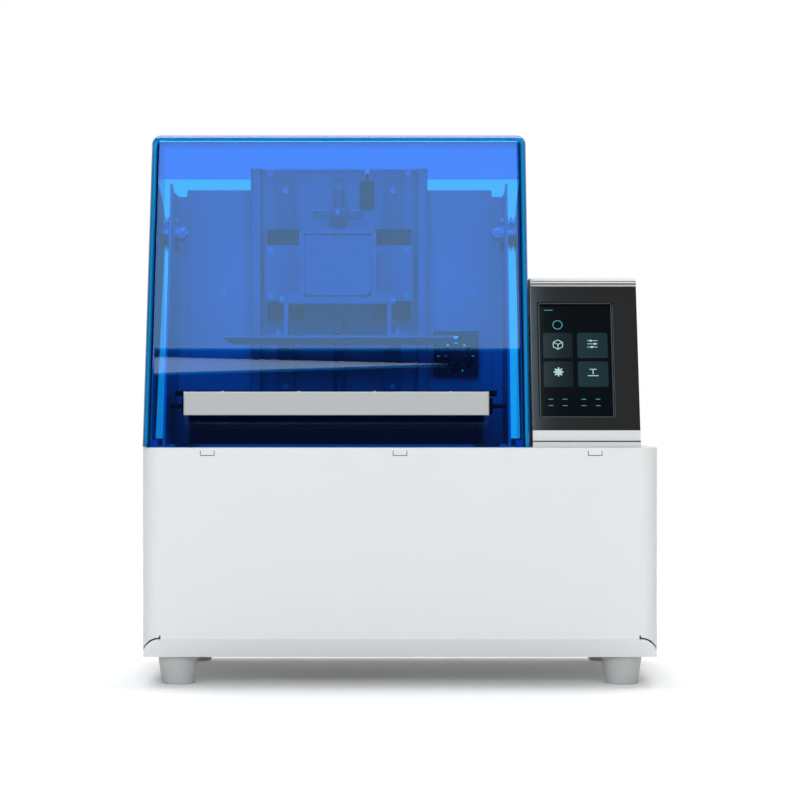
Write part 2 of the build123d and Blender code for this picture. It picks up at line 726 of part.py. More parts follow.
def lead_screw():
    """Ground screw shaft with a plain turned end at the top and a journal at the foot."""
    y = yb(SCREW_YF)
    shaft = rod(SCREW_R, (CX, y, 130), (0, 0, 1), SCREW_TOP - 10 - 130)
    shaft += rod(SCREW_R - 1.6, (CX, y, 120), (0, 0, 1), SCREW_TOP - 120)
    return shaft


def shaft_coupler():
    y = yb(SCREW_YF)
    coupler = rod(9.5, (CX, y, MOTOR_TOP + HANGER_T + 1.5), (0, 0, 1), 25.0)
    for i in range(4):
        z = MOTOR_TOP + HANGER_T + 8.0 + i * 3.0
        ring = rod(9.6, (CX, y, z), (0, 0, 1), 1.1) - rod(7.0, (CX, y, z), (0, 0, 1), 1.1)
        coupler -= ring
    coupler -= rod(SCREW_R - 1.6, (CX, y, 120), (0, 0, 1), 10)
    coupler -= rod(SCREW_R, (CX, y, 130), (0, 0, 1), 20)
    coupler -= rod(2.5, (CX, y, MOTOR_TOP), (0, 0, 1), 10)
    return coupler


def motor_shaft():
    y = yb(SCREW_YF)
    return rod(2.5, (CX, y, MOTOR_TOP - 18), (0, 0, 1), 28)


SWITCH_Z0, SWITCH_Z1 = 413.3, 437.5
SWITCH_BODY_W = 12.6
SWITCH_BODY_D = 7.0


def limit_switch():
    x = CABLE_X
    body = block(x - SWITCH_BODY_W / 2, x + SWITCH_BODY_W / 2, yb(COLUMN_YF - SWITCH_BODY_D),
                 yb(COLUMN_YF), SWITCH_Z0, SWITCH_Z1)
    body -= block(x - 2.2, x + 2.2, yb(COLUMN_YF - SWITCH_BODY_D) - 1,
                  yb(COLUMN_YF - SWITCH_BODY_D) + 2.5, SWITCH_Z0 + 9, SWITCH_Z1 - 3)
    for dx in (-3.4, 3.4):
        body -= rod(1.3, (x + dx, yb(COLUMN_YF) + 1, SWITCH_Z0 + 3.6), (0, -1, 0), 20)
    return body


def switch_screws():
    return [cap_screw((CABLE_X + dx, yb(COLUMN_YF - SWITCH_BODY_D), SWITCH_Z0 + 3.6), (0, -1, 0),
                      2.4, 1.6, 1.2, 6.9) for dx in (-3.4, 3.4)]


def switch_cable():
    """Cable from the limit switch over the column's head and down its back groove."""
    front = yb(COLUMN_YF - 3.5)
    points = [(CABLE_X, front, SWITCH_Z1), (CABLE_X, front, CABLE_Z),
              (CABLE_X, yb(CABLE_YF), CABLE_Z), (CABLE_X, yb(CABLE_YF), 186.0)]
    path = FilletPolyline(*points, radius=2.4)
    section = Plane(origin=points[0], z_dir=(0, 0, 1)) * Circle(CABLE_R)
    return sweep(section, path=path)


# ============================================== carriage on the two linear rails
def rail_blocks():
    shapes = []
    back = COLUMN_YF - RAIL_D + 6.0
    face = COLUMN_YF - 16.0
    for x in (CX - RAIL_PITCH / 2, CX + RAIL_PITCH / 2):
        for i in range(2):
            z0 = BLOCK_Z0 + i * (BLOCK_L + 0.6)
            unit = block(x - BLOCK_W / 2, x + BLOCK_W / 2, yb(face), yb(back), z0, z0 + BLOCK_L)
            unit = chamfer(unit.edges().filter_by(Axis.Z).sort_by(Axis.Y)[:2], 1.0)
            slot_w = RAIL_W / 2 + 0.3
            unit -= block(x - slot_w, x + slot_w, yb(COLUMN_YF - RAIL_D - 0.3), yb(back) + 1,
                          z0 - 1, z0 + BLOCK_L + 1)
            shapes.append(unit)
    return shapes


CARRIAGE_YF = COLUMN_YF - 16.0 - CARRIAGE_T
PLATE_SCREWS = []
for ps in (-1, 1):
    for pe in (-1, 1):
        for ph in (5.0, CARRIAGE_H - 5.0):
            PLATE_SCREWS.append((CX + ps * RAIL_PITCH / 2 + pe * 12.5, CARRIAGE_Z0 + ph))


def carriage_plate():
    plate = block(CX - CARRIAGE_W / 2, CX + CARRIAGE_W / 2, yb(CARRIAGE_YF),
                  yb(CARRIAGE_YF + CARRIAGE_T), CARRIAGE_Z0, CARRIAGE_Z0 + CARRIAGE_H)
    plate = fillet(plate.edges().filter_by(Axis.Y), 2.0)
    for x, z in PLATE_SCREWS:
        plate -= rod(1.6, (x, yb(CARRIAGE_YF) - 1, z), (0, 1, 0), 10)
    return plate


def plate_screws():
    return [cap_screw((x, yb(CARRIAGE_YF), z), (0, -1, 0), 2.8, 1.8, 1.5, CARRIAGE_T - 0.1)
            for x, z in PLATE_SCREWS]


def screw_nut():
    y = yb(SCREW_YF)
    y0 = yb(CARRIAGE_YF + CARRIAGE_T)
    z0 = CARRIAGE_Z0 + 14.0
    nut = block(CX - 13, CX + 13, y0, y + 7.0, z0, z0 + 22)
    return nut - rod(SCREW_R + RUN_FIT, (CX, y, z0 - 1), (0, 0, 1), 24)


def arm():
    """Cast arm that reaches forward from the carriage plate, hollow from behind."""
    half = ARM_W / 2
    body = block(CX - half, CX + half, yb(ARM_FRONT_YF), yb(CARRIAGE_YF), ARM_Z0, ARM_Z1)
    body = fillet(body.edges().filter_by(Axis.Y).sort_by(Axis.Z)[-2:], 2.0)
    body = chamfer(body.edges().filter_by(Axis.Y).sort_by(Axis.Z)[:2], 3.0)
    body -= block(CX - half + 6, CX + half - 6, yb(ARM_FRONT_YF + 6), yb(CARRIAGE_YF - 6),
                  ARM_Z0 - 1, ARM_Z1 - 8)
    notch = 2.8
    body -= block(CX - notch, CX + notch, yb(ARM_FRONT_YF) - 1, yb(ARM_FRONT_YF + 5), ARM_Z1 - 7.5,
                  ARM_Z1 + 1)
    return body


# ============================================================ build platform
HANGER_YF = 109.0
BAR_Z1 = ARM_Z0 - 1.2
BAR_HALF = ARM_W / 2 + HANGER_GAP + HANGER_WALL + HANGER_FOOT
KNOB_YF = HANGER_YF + HANGER_L / 2


def clamp_hanger():
    """Inverted U with out-turned feet; it slips over the arm and carries the crossbar."""
    inner = ARM_W / 2 + HANGER_GAP
    outer = inner + HANGER_WALL
    top = ARM_Z1 + 1.0 + HANGER_WALL
    y0, y1 = yb(HANGER_YF), yb(HANGER_YF + HANGER_L)
    hat = block(CX - outer, CX + outer, y0, y1, BAR_Z1, top)
    hat = fillet(hat.edges().filter_by(Axis.Y).sort_by(Axis.Z)[-2:], 5.0)
    foot_plate = block(CX - BAR_HALF, CX + BAR_HALF, y0, y1, BAR_Z1, BAR_Z1 + 3.0)
    hat += foot_plate
    hat -= block(CX - inner, CX + inner, y0 - 1, y1 + 1, BAR_Z1 - 1, ARM_Z1 + 1.0)
    hat -= rod(4.0 + RUN_FIT, (CX, yb(KNOB_YF), ARM_Z1), (0, 0, 1), 20)
    return hat


def crossbar():
    return block(CX - BAR_HALF, CX + BAR_HALF, yb(HANGER_YF), yb(HANGER_YF + HANGER_L),
                 BAR_Z1 - BAR_T, BAR_Z1)


PLATFORM_TOP = PLATFORM_Z + PLATFORM_T


def platform_brackets():
    shapes = []
    y0 = yb(HANGER_YF + 5)
    y1 = y0 + BRACKET_D
    for side in (-1, 1):
        x_in = CX + side * BAR_HALF
        x_out = x_in + side * BRACKET_T
        x_foot = x_in + side * 13.5
        leg = block(min(x_in, x_out), max(x_in, x_out), y0, y1, PLATFORM_TOP,
                    PLATFORM_TOP + BRACKET_H + 3.2)
        foot_part = block(min(x_out, x_foot), max(x_out, x_foot), y0, y1, PLATFORM_TOP,
                          PLATFORM_TOP + 3.0)
        for dy in (8.0, BRACKET_D - 8.0):
            foot_part -= rod(2.1, (CX + side * (BAR_HALF + 9.0), y0 + dy, PLATFORM_TOP - 1),
                             (0, 0, 1), 10)
            leg -= rod(2.1, (x_in - side, y0 + dy, BAR_Z1 - BAR_T / 2), (side, 0, 0), 10)
        shapes.extend([leg, foot_part])
    return shapes


def bracket_bolts():
    shapes = []
    y0 = yb(HANGER_YF + 5)
    for side in (-1, 1):
        for dy in (8.0, BRACKET_D - 8.0):
            shapes.append(cap_screw((CX + side * (BAR_HALF + 9.0), y0 + dy, PLATFORM_TOP + 3.0),
                                    (0, 0, 1), 3.5, 4.0, 2.0, 2.9))
            shapes.append(cap_screw((CX + side * (BAR_HALF + BRACKET_T), y0 + dy,
                                     BAR_Z1 - BAR_T / 2), (side, 0, 0), 3.5, 4.0, 2.0, 3.4))
    return shapes


BEVEL_W = 8.0
BEVEL_H = 4.6


def build_plate():
    """Plate with a bevelled underside: its lower face is smaller all round."""
    y = yb(SCREEN_YF)
    low = Plane.XY.offset(PLATFORM_Z) * Pos(CX, y) * Rectangle(PLATFORM_W - 2 * BEVEL_W,
                                                              PLATFORM_D - 2 * BEVEL_W)
    mid = Plane.XY.offset(PLATFORM_Z + BEVEL_H) * Pos(CX, y) * Rectangle(PLATFORM_W, PLATFORM_D)
    upper = block(CX - PLATFORM_W / 2, CX + PLATFORM_W / 2, y - PLATFORM_D / 2,
                  y + PLATFORM_D / 2, PLATFORM_Z + BEVEL_H, PLATFORM_TOP)
    return loft([low.face(), mid.face()]) + upper


PAD_Z = ARM_Z1 + 0.3
CLAMP_SCREW_R = 4.0


def clamp_pad():
    """Swivel pad under the clamp screw, in a pocket between arm and hanger roof."""
    return rod(3.4, (CX, yb(KNOB_YF), PAD_Z), (0, 0, 1), 0.6)


def clamp_knob():
    """Four-lobed knob with its hub and the screw that runs through the hanger's roof."""
    y = yb(KNOB_YF)
    screw_low = PAD_Z + 0.6
    star = Circle(HUB_R + 3)
    for i in range(4):
        star += Rot(0, 0, 90 * i) * Pos(KNOB_R - LOBE_R, 0) * Circle(LOBE_R)
    star = fillet(star.vertices(), 3.0)
    knob = Pos(CX, y, KNOB_Z) * extrude(star, KNOB_H)
    knob = fillet(knob.edges().group_by(Axis.Z)[-1], 1.2)
    hub_z = ARM_Z1 + 1.0 + HANGER_WALL + 2.0
    knob += rod(HUB_R, (CX, y, hub_z), (0, 0, 1), KNOB_Z - hub_z)
    knob += rod(CLAMP_SCREW_R, (CX, y, screw_low), (0, 0, 1), hub_z - screw_low)
    return knob


# ====================================================================== vat
def vat_outline(z0, z1, width, front_yf, rear_yf, radius):
    depth = rear_yf - front_yf
    return rounded_slab(width, depth, radius, z0, z1, CX, yb((front_yf + rear_yf) / 2))


VAT_FLOOR = DECK_TOP + RING_T + FILM_T


def vat_frame():
    """Vat walls as flush solids: front, two sides, and the rear on both sides of its notch."""
    vat = vat_outline(VAT_FLOOR, VAT_TOP, VAT_W, VAT_FRONT_YF, VAT_REAR_YF, 9.0)
    vat += vat_outline(VAT_TOP - VAT_RIM_T, VAT_TOP, VAT_RIM_W, VAT_FRONT_YF - VAT_LIP,
                       VAT_REAR_YF, 6.0)
    vat -= rounded_slab(VAT_INNER_W, VAT_INNER_D, VAT_INNER_R, VAT_FLOOR - 1, VAT_TOP + 1, CX,
                        yb(SCREEN_YF))
    half_notch = ARM_W / 2 + 3.0
    vat -= block(CX - half_notch, CX + half_notch, yb(SCREEN_YF), yb(VAT_REAR_YF) + 1,
                 VAT_TOP - VAT_NOTCH, VAT_TOP + 1)
    for x, y in RING_SCREWS:
        vat -= rod(1.3, (x, y, VAT_FLOOR - 1), (0, 0, 1), 7)
    inner_x = VAT_INNER_W / 2
    inner_y0 = yb(SCREEN_YF - VAT_INNER_D / 2)
    inner_y1 = yb(SCREEN_YF + VAT_INNER_D / 2)
    zones = [(-VAT_RIM_W, VAT_RIM_W, yb(0), inner_y0), (-VAT_RIM_W, -inner_x, inner_y0, inner_y1),
             (inner_x, VAT_RIM_W, inner_y0, inner_y1), (-VAT_RIM_W, -half_notch, inner_y1, BACK),
             (-half_notch, half_notch, inner_y1, BACK), (half_notch, VAT_RIM_W, inner_y1, BACK)]
    walls = []
    for x0, x1, y0, y1 in zones:
        walls.append(common(vat, block(CX + x0, CX + x1, y0, y1, VAT_FLOOR - 1, VAT_TOP + 1)))
    return walls


RING_SCREWS = []
for qi in range(6):
    qx = CX - VAT_W / 2 + 20 + qi * (VAT_W - 40) / 5
    RING_SCREWS.append((qx, yb(VAT_FRONT_YF + 5.5)))
for qs in (-1, 1):
    for qj in range(3):
        RING_SCREWS.append((CX + qs * (VAT_W / 2 - 6.5), yb(SCREEN_YF) + (qj - 1) * 36.0))


def film_layer(z0, thick):
    sheet = vat_outline(z0, z0 + thick, VAT_W - 4, VAT_FRONT_YF + 2, VAT_REAR_YF - 1, 8.0)
    for x, y in RING_SCREWS:
        sheet -= rod(1.4, (x, y, z0 - 1), (0, 0, 1), 6)
    return sheet


def film_ring():
    ring = film_layer(DECK_TOP, RING_T)
    ring -= rounded_slab(VAT_INNER_W + 4, VAT_INNER_D + 4, 8.0, DECK_TOP - 1,
                         DECK_TOP + RING_T + 1, CX, yb(SCREEN_YF))
    for x, y in RING_SCREWS:
        ring -= rod(2.6, (x, y, DECK_TOP - 1), (0, 0, 1), 2.2)
    return ring


def ring_screws():
    shapes = []
    for x, y in RING_SCREWS:
        head = rod(2.5, (x, y, DECK_TOP + 0.1), (0, 0, 1), 1.1)
        shank = rod(1.2, (x, y, DECK_TOP + 0.1), (0, 0, 1), 6.5)
        shapes.append(head + shank)
    return shapes


# ================================================================ side frames
PLATE_IN_LEFT = LID_X0 + SIDE_GAP
PLATE_IN_RIGHT = LID_X0 + LID_W - SIDE_GAP
SIDES = [("left", PLATE_IN_LEFT, 1), ("right", PLATE_IN_RIGHT, -1)]


def side_plate(x, inward):
    """Fixed side of the chamber; its front edge leans back beside the lid."""
    outline = [(20.0, DECK_TOP), (120.0, 424.0), (118.0, 430.0), (124.0, 430.0), (140.0, 424.0),
               (WALL_YF, 424.0), (WALL_YF, DECK_TOP)]
    x1 = x + inward * PLATE_T
    plate = plate_yz(outline, min(x, x1), max(x, x1))
    foot_x = x + inward * 9.0
    plate += block(min(x, foot_x), max(x, foot_x), yb(40), yb(WALL_YF - 12), DECK_TOP,
                   DECK_TOP + 2)
    plate -= rod(PIN_R + RUN_FIT, (x - inward, yb(PIVOT_YF), PIVOT_Z), (inward, 0, 0), 6)
    plate -= rod(2.0 + RUN_FIT, (x - inward, yb(CLAMP_YF), CLAMP_Z), (inward, 0, 0), 6)
    return plate


def hinge_pin(x, inward):
    """Shoulder pin through lid plate, friction discs and side plate, nut on the inside."""
    y = yb(PIVOT_YF)
    out_x = lid_plate_x(x, inward) - inward * 0.1
    in_x = x + inward * (PLATE_T + 2.5)
    pin = rod(PIN_R, (out_x, y, PIVOT_Z), (inward, 0, 0), abs(in_x - out_x) + 8)
    nut = extrude(Plane(origin=(in_x, y, PIVOT_Z), z_dir=(inward, 0, 0))
                  * RegularPolygon(6.4, 6), 6.0)
    return pin + nut


def lid_plate_x(x, inward):
    """Outer face of the lid's own hinge plate on one side."""
    return x - inward * (SIDE_GAP - LID_WALL - LID_PLATE_GAP)


def hinge_discs(x, inward):
    """Friction disc stack outside the side plate and the washer inside it."""
    y = yb(PIVOT_YF)
    lid_inner = lid_plate_x(x, inward) + inward * (PLATE_T + 0.3)
    gap = abs(x - lid_inner)
    stack = rod(DISC_R, (lid_inner, y, PIVOT_Z), (inward, 0, 0), gap)
    third = gap / 5.0
    for i in (1, 3):
        start = (lid_inner + inward * third * i, y, PIVOT_Z)
        ring = rod(DISC_R + 1, start, (inward, 0, 0), third)
        ring -= rod(DISC_R - 3.0, start, (inward, 0, 0), third)
        stack -= ring
    washer = rod(DISC_R, (x + inward * PLATE_T, y, PIVOT_Z), (inward, 0, 0), 2.5)
    bore = rod(PIN_R, (lid_inner - inward, y, PIVOT_Z), (inward, 0, 0), 40)
    return [stack - bore, washer - bore]


# ================================================================= back wall
WALL_SCREWS = [(CX - 104.7, 338.1), (CX + 120.7, 338.1)]
FAN_AT = (50.4, 282.8)


def back_wall():
    half = WALL_W / 2
    y0 = yb(WALL_YF)
    wall = block(PLATE_IN_LEFT + PLATE_T, PLATE_IN_RIGHT - PLATE_T, y0, y0 + WALL_T, DECK_TOP,
                 424.0)
    body = block(CX - half, CX + half, y0, y0 + WALL_RETURN, DECK_TOP, WALL_TOP)
    body -= block(CX - half + WALL_T, CX + half - WALL_T, y0 + WALL_T, y0 + WALL_RETURN + 1,
                  DECK_TOP - 1, WALL_TOP - WALL_T)
    for side in (-1, 1):
        x = CX + side * half
        body += block(min(x, x - side * 3), max(x, x - side * 3), y0 - 4.0, y0, DECK_TOP,
                      WALL_TOP - 4)
    wall += body
    wall -= rod(SMALL_FAN / 2 - 1.5, (FAN_AT[0], y0 - 1, FAN_AT[1]), (0, 1, 0), 4)
    for x, z in WALL_SCREWS:
        wall -= rod(2.1, (x, y0 - 1, z), (0, 1, 0), 4)
    return wall


def rear_cover():
    half = WALL_W / 2 - WALL_T - CLEAR
    y1 = yb(WALL_YF + WALL_RETURN)
    cover = block(CX - half, CX + half, y1 - 1.2, y1, DECK_TOP, WALL_TOP - WALL_T - CLEAR)
    cover -= block(FAN_AT[0] - 25.2, FAN_AT[0] + 25.2, y1 - 5, y1 + 5, FAN_AT[1] - 25.2,
                   FAN_AT[1] + 25.2)
    for i in range(8):
        x = CX - 56.0 + i * 16.0
        slot = Pos(x, y1, 236.0) * Rot(90, 0, 0) * Rot(0, 0, 90) * SlotCenterToCenter(30, 4)
        cover -= extrude(slot, amount=6, both=True)
    return cover


def wall_screws():
    return [cap_screw((x, yb(WALL_YF), z), (0, -1, 0), 3.9, 1.8, 2.0, 5.0)
            for x, z in WALL_SCREWS]


def filter_housing():
    x, z = FAN_AT
    y0 = yb(WALL_YF + WALL_T)
    box_outer = block(x - 25, x + 25, y0, y0 + 32, z - 25, z + 25)
    box_outer = fillet(box_outer.edges().filter_by(Axis.Y), 4.0)
    box_outer -= block(x - 22, x + 22, y0 - 1, y0 + 29.5, z - 22, z + 22)
    for i in range(6):
        dz = -15.0 + i * 6.0
        box_outer -= block(x - 17, x + 17, y0 + 20, y0 + 40, z + dz - 1.5, z + dz + 1.5)
    return box_outer


def filter_core():
    x, z = FAN_AT
    y0 = yb(WALL_YF + WALL_T)
    core = block(x - 21.8, x + 21.8, y0 + 6, y0 + 26, z - 21.8, z + 21.8)
    for i in range(5):
        for j in range(5):
            core -= rod(2.6, (x + (i - 2) * 8, y0, z + (j - 2) * 8), (0, 1, 0), 40)
    return core


CHAMBER_FAN_PLANE = Plane(origin=(FAN_AT[0], yb(WALL_YF), FAN_AT[1]), x_dir=(1, 0, 0),
                          z_dir=(0, -1, 0)).location


def chamber_fan_guard():
    """Moulded front guard of the small fan: two rings of slots round a solid middle."""
    x, z = FAN_AT
    y1 = yb(WALL_YF - SMALL_FAN_T)
    guard = block(x - 20, x + 20, y1 - 1.6, y1, z - 20, z + 20)
    for r_in, r_out in ((8.2, 11.4), (13.4, 17.0)):
        for i in range(6):
            a0 = 60 * i + 8
            sector = Plane(origin=(x, y1 + 1, z), x_dir=(1, 0, 0), z_dir=(0, -1, 0))
            outer = sector.location * extrude(Circle(r_out), 6) - sector.location * extrude(
                Circle(r_in), 6)
            a_mid = math.radians(a0 + 22)
            wedge_pts = [(0, 0)]
            for a in (a0, a0 + 22, a0 + 44):
                rad = math.radians(a)
                wedge_pts.append((30 * math.cos(rad), 30 * math.sin(rad)))
            wedge = sector.location * extrude(Polygon(*wedge_pts, align=None), 6)
            guard -= common(outer, wedge)
    return guard


# ======================================================================= lid
def lid_profile(inset):
    """Side outline of the lid, shrunk by the wall thickness for the inner surface."""
    slope = (LID_CREST_YF - LID_FRONT_YF) / (LID_TOP - LID_BOTTOM)
    across = inset * math.hypot(1.0, slope)
    bottom = LID_BOTTOM - (5.0 if inset else 0.0)
    top = LID_TOP - inset
    front_bottom = LID_FRONT_YF + across + slope * (bottom - LID_BOTTOM)
    crest = LID_FRONT_YF + across + slope * (top - LID_BOTTOM)
    return bottom, top, front_bottom, crest


def lid_block(inset, radius):
    """Solid prism of the lid's outline with its long edges rounded."""
    bottom, top, front_bottom, crest = lid_profile(inset)
    rear = LID_REAR_YF + (0.0 if inset == 0 else -inset)
    outline = [(front_bottom, bottom), (crest, top), (rear, top), (rear, bottom)]
    solid = plate_yz(outline, LID_X0 + inset, LID_X0 + LID_W - inset)
    edges = []
    for edge in solid.edges():
        middle = edge.center()
        on_bottom = abs(middle.Z - bottom) < 1
        on_rear = abs(middle.Y - yb(rear)) < 1
        if not on_bottom and not (on_rear and middle.Z < top - 1):
            edges.append(edge)
    return fillet(edges, radius)


def lid_shell():
    lid = lid_block(0.0, LID_R) - lid_block(LID_WALL, LID_R - LID_WALL + 0.5)
    inside = block(LID_X0 + LID_WALL, LID_X0 + LID_W - LID_WALL, yb(LID_REAR_YF - LID_WALL - 1),
                   yb(LID_REAR_YF) + 1, 0, LID_SKIRT_Z)
    lid -= inside
    sweep_r = PIVOT_Z - LID_BOTTOM
    disc = rod(sweep_r, (LID_X0 - 5, yb(PIVOT_YF), PIVOT_Z), (1, 0, 0), LID_W + 10)
    corner = block(LID_X0 - 5, LID_X0 + LID_W + 5, yb(PIVOT_YF), yb(LID_REAR_YF) + 10,
                   LID_BOTTOM - 5, PIVOT_Z - 60)
    lid -= corner - disc
    for x, y, z, direction in handle_screw_places():
        lid -= rod(1.6, (x, y, z), direction, 40)
    return lid


LID_SLOPE = (LID_CREST_YF - LID_FRONT_YF) / (LID_TOP - LID_BOTTOM)
HANDLE_HALF = 128.5
HANDLE_CX = -53.5
HANDLE_Z0 = 228.2
HANDLE_Z1 = 248.0
HANDLE_YF = 0.6
HANDLE_WALL = 3.0


def lid_face_yf(z):
    """Depth of the lid's outer front face at a height."""
    return LID_FRONT_YF + LID_SLOPE * (z - LID_BOTTOM)


def handle_screw_places():
    places = []
    norm = math.hypot(1.0, LID_SLOPE)
    direction = (0, -1 / norm, LID_SLOPE / norm)
    for dx in (-96.0, -32.0, 32.0, 96.0):
        z = HANDLE_Z1 - 6.0
        depth = lid_face_yf(z) + LID_WALL * norm
        places.append((HANDLE_CX + dx, yb(depth) + 3 / norm, z - 3 * LID_SLOPE / norm, direction))
    return places


def lid_handle():
    """Channel-shaped grip on the lid's front, open below for the fingers."""
    z0, z1 = HANDLE_Z0, HANDLE_Z1
    outline = [(HANDLE_YF, z0), (HANDLE_YF, z1), (lid_face_yf(z1), z1), (lid_face_yf(z0), z0)]
    x0, x1 = HANDLE_CX - HANDLE_HALF, HANDLE_CX + HANDLE_HALF
    bar = plate_yz(outline, x0, x1)
    front_edges = bar.edges().filter_by(
        lambda e: abs(e.center().Y - yb(HANDLE_YF)) < 0.1)
    bar = fillet(front_edges, 1.0)
    w = HANDLE_WALL
    hollow = plate_yz([(HANDLE_YF + w, z0 - 5), (HANDLE_YF + w, z1 - w),
                       (lid_face_yf(z1) + 20, z1 - w), (lid_face_yf(z1) + 20, z0 - 5)],
                      x0 + w, x1 - w)
    channel = bar - hollow
    for x, y, z, direction in handle_screw_places():
        boss = block(x - 5, x + 5, yb(HANDLE_YF + 1), yb(60), z0 + 5, z1 - 1)
        channel += common(boss, bar)
        channel -= rod(1.45, (x, y, z), direction, 20)
    return channel


def handle_screws():
    shapes = []
    for x, y, z, direction in handle_screw_places():
        axis = Vector(*direction)
        face = Vector(x, y, z) + axis * 3.0
        shapes.append(cap_screw(tuple(face), tuple(axis * -1), 3.2, 2.0, 1.4, 14.0))
    return shapes


def lid_hinge_plate(x, inward):
    """Steel plate inside the lid's side that carries the hinge pin's pressure."""
    outer = lid_plate_x(x, inward)
    inner = outer + inward * PLATE_T
    outline = [(23.5, 207.0), (105.0, 424.0), (106.0, 430.0), (114.0, 427.0), (150.0, 420.0),
               (186.0, 406.0), (186.0, 372.0), (150.0, 330.0), (70.0, 207.0)]
    plate = plate_yz(outline, min(outer, inner), max(outer, inner))
    return plate - rod(PIN_R + RUN_FIT, (outer - inward, yb(PIVOT_YF), PIVOT_Z),
                       (inward, 0, 0), 6)


def lid_bumpers():
    shapes = []
    for x in (LID_X0 + LID_WALL, LID_X0 + LID_W - LID_WALL - 8.0):
        for depth in (14.0, 148.0):
            shapes.append(block(x, x + 8.0, yb(depth), yb(depth + 10), DECK_TOP + 0.1,
                                DECK_TOP + 6.0))
    return shapes


# ============================================================== vat clamp screws
CLAMP_GAP = 0.3
CLAMP_TIP_L = 2.5
WHEEL_R = 7.5
WHEEL_L = 5.0


def clamp_places():
    """Vat wall face, side plate and outward direction of each side's clamp screw."""
    return [("left", CX - VAT_W / 2, PLATE_IN_LEFT, -1),
            ("right", CX + VAT_W / 2, PLATE_IN_RIGHT, 1)]


def vat_clamp_screw(face_x, plate_x, out):
    """Thumb wheel and blunt tip on an M4 screw that runs in the side plate."""
    y = yb(CLAMP_YF)
    x = face_x + out * CLAMP_GAP
    wheel = rod(WHEEL_R, (x + out * (CLAMP_TIP_L + 1.0), y, CLAMP_Z), (out, 0, 0), WHEEL_L)
    for i in range(16):
        angle = math.radians(22.5 * i)
        cy = y + (WHEEL_R + 0.4) * math.cos(angle)
        cz = CLAMP_Z + (WHEEL_R + 0.4) * math.sin(angle)
        wheel -= rod(1.0, (x + out * 2.0, cy, cz), (out, 0, 0), 9.0)
    tip = rod(3.6, (x, y, CLAMP_Z), (out, 0, 0), CLAMP_TIP_L)
    shaft = rod(2.0, (x, y, CLAMP_Z), (out, 0, 0), abs(plate_x - x) + 1.0)
    return wheel + tip + shaft


# =================================================================== console
CONSOLE_X1 = CONSOLE_X0 + CONSOLE_W
LEAN = math.radians(CONSOLE_LEAN)


def console_front(z):
    """Depth of the console's black front at a height."""
    return CONSOLE_FRONT_YF + 5.0 + (z - PANEL_Z0) * math.tan(LEAN)


def console_outline():
    z_foot = PANEL_Z0 - 1.0
    z_head = PANEL_Z1 + 1.0
    rear = console_front(CONSOLE_TOP) + CONSOLE_DEPTH_TOP
    return [(CONSOLE_FRONT_YF, DECK_TOP), (CONSOLE_FRONT_YF, DECK_TOP + 4.0),
            (console_front(z_foot) - 2.0, z_foot), (console_front(z_head) - 2.0, z_head),
            (console_front(CONSOLE_TOP) - 1.0, CONSOLE_TOP - 4.0),
            (console_front(CONSOLE_TOP) + 3.0, CONSOLE_TOP), (rear, CONSOLE_TOP),
            (rear, DECK_TOP)]


def lean_plane(z):
    """Plane lying on the console's black front, origin at a height, normal outwards."""
    return Plane(origin=((CONSOLE_X0 + CONSOLE_X1) / 2, yb(console_front(z)), z),
                 x_dir=(1, 0, 0), z_dir=(0, -math.cos(LEAN), math.sin(LEAN)))


PANEL_MID = (PANEL_Z0 + PANEL_Z1) / 2
PANEL_LEN = (PANEL_Z1 - PANEL_Z0) / math.cos(LEAN)
DISPLAY_DX = -7.5
DISPLAY_DU = -1.2


def slab_on_front(w, h, depth, x=0.0, u=0.0, below=0.0):
    """Slab whose outer face lies on the console's front, sunk by a depth."""
    plane = lean_plane(PANEL_MID)
    return plane.location * Pos(x, u, -below - depth / 2) * Box(w, h, depth)


def console_housing():
    solid = plate_yz(console_outline(), CONSOLE_X0, CONSOLE_X1)
    wall = 2.5
    inner = plate_yz(console_outline(), CONSOLE_X0 + wall, CONSOLE_X1 - wall)
    keep = block(CONSOLE_X0, CONSOLE_X1, yb(0), yb(300), DECK_TOP - 1, CONSOLE_TOP - 6)
    rear = console_front(CONSOLE_TOP) + CONSOLE_DEPTH_TOP
    inner = common(inner, keep) - block(CONSOLE_X0, CONSOLE_X1, yb(rear - wall), yb(rear + 5),
                                          0, 500)
    inner -= slab_on_front(CONSOLE_W + 20, 400, 12.0, below=-6.0)
    inner -= block(CONSOLE_X0, CONSOLE_X1, yb(0), yb(60), DECK_TOP - 2, PANEL_Z0 - 6)
    inner -= block(CONSOLE_X0, CONSOLE_X1, yb(0), yb(300), PANEL_Z1 - 4, 500)
    solid -= inner
    solid -= slab_on_front(CONSOLE_W + 2, PANEL_LEN + 0.4, 12.0, below=-12.0 + PANEL_T)
    solid -= slab_on_front(DISPLAY_W + 10, DISPLAY_L + 8, 14.0, DISPLAY_DX, DISPLAY_DU)
    for i in range(7):
        z = 228.0 + i * 6.0
        solid -= block(CONSOLE_X0 + 24, CONSOLE_X1 - 24, yb(rear - 6), yb(rear + 5),
                       z, z + 2.6)
    return solid


def console_panel():
    """Black glossy front with a window for the display."""
    panel = slab_on_front(CONSOLE_W, PANEL_LEN, PANEL_T)
    window = slab_on_front(DISPLAY_W + 3.0, DISPLAY_L + 1.0, 30.0, DISPLAY_DX, DISPLAY_DU, -10.0)
    return panel - window


def touch_display():
    return slab_on_front(DISPLAY_W + 6, DISPLAY_L + 5, 5.0, DISPLAY_DX, DISPLAY_DU, PANEL_T)


def display_bezel():
    """Thin frame that lines the window, the display's glass seen inside it."""
    frame = slab_on_front(DISPLAY_W + 2.8, DISPLAY_L + 0.8, PANEL_T, DISPLAY_DX, DISPLAY_DU)
    return frame - slab_on_front(DISPLAY_W, DISPLAY_L - 2.0, 30.0, DISPLAY_DX, DISPLAY_DU, -10.0)


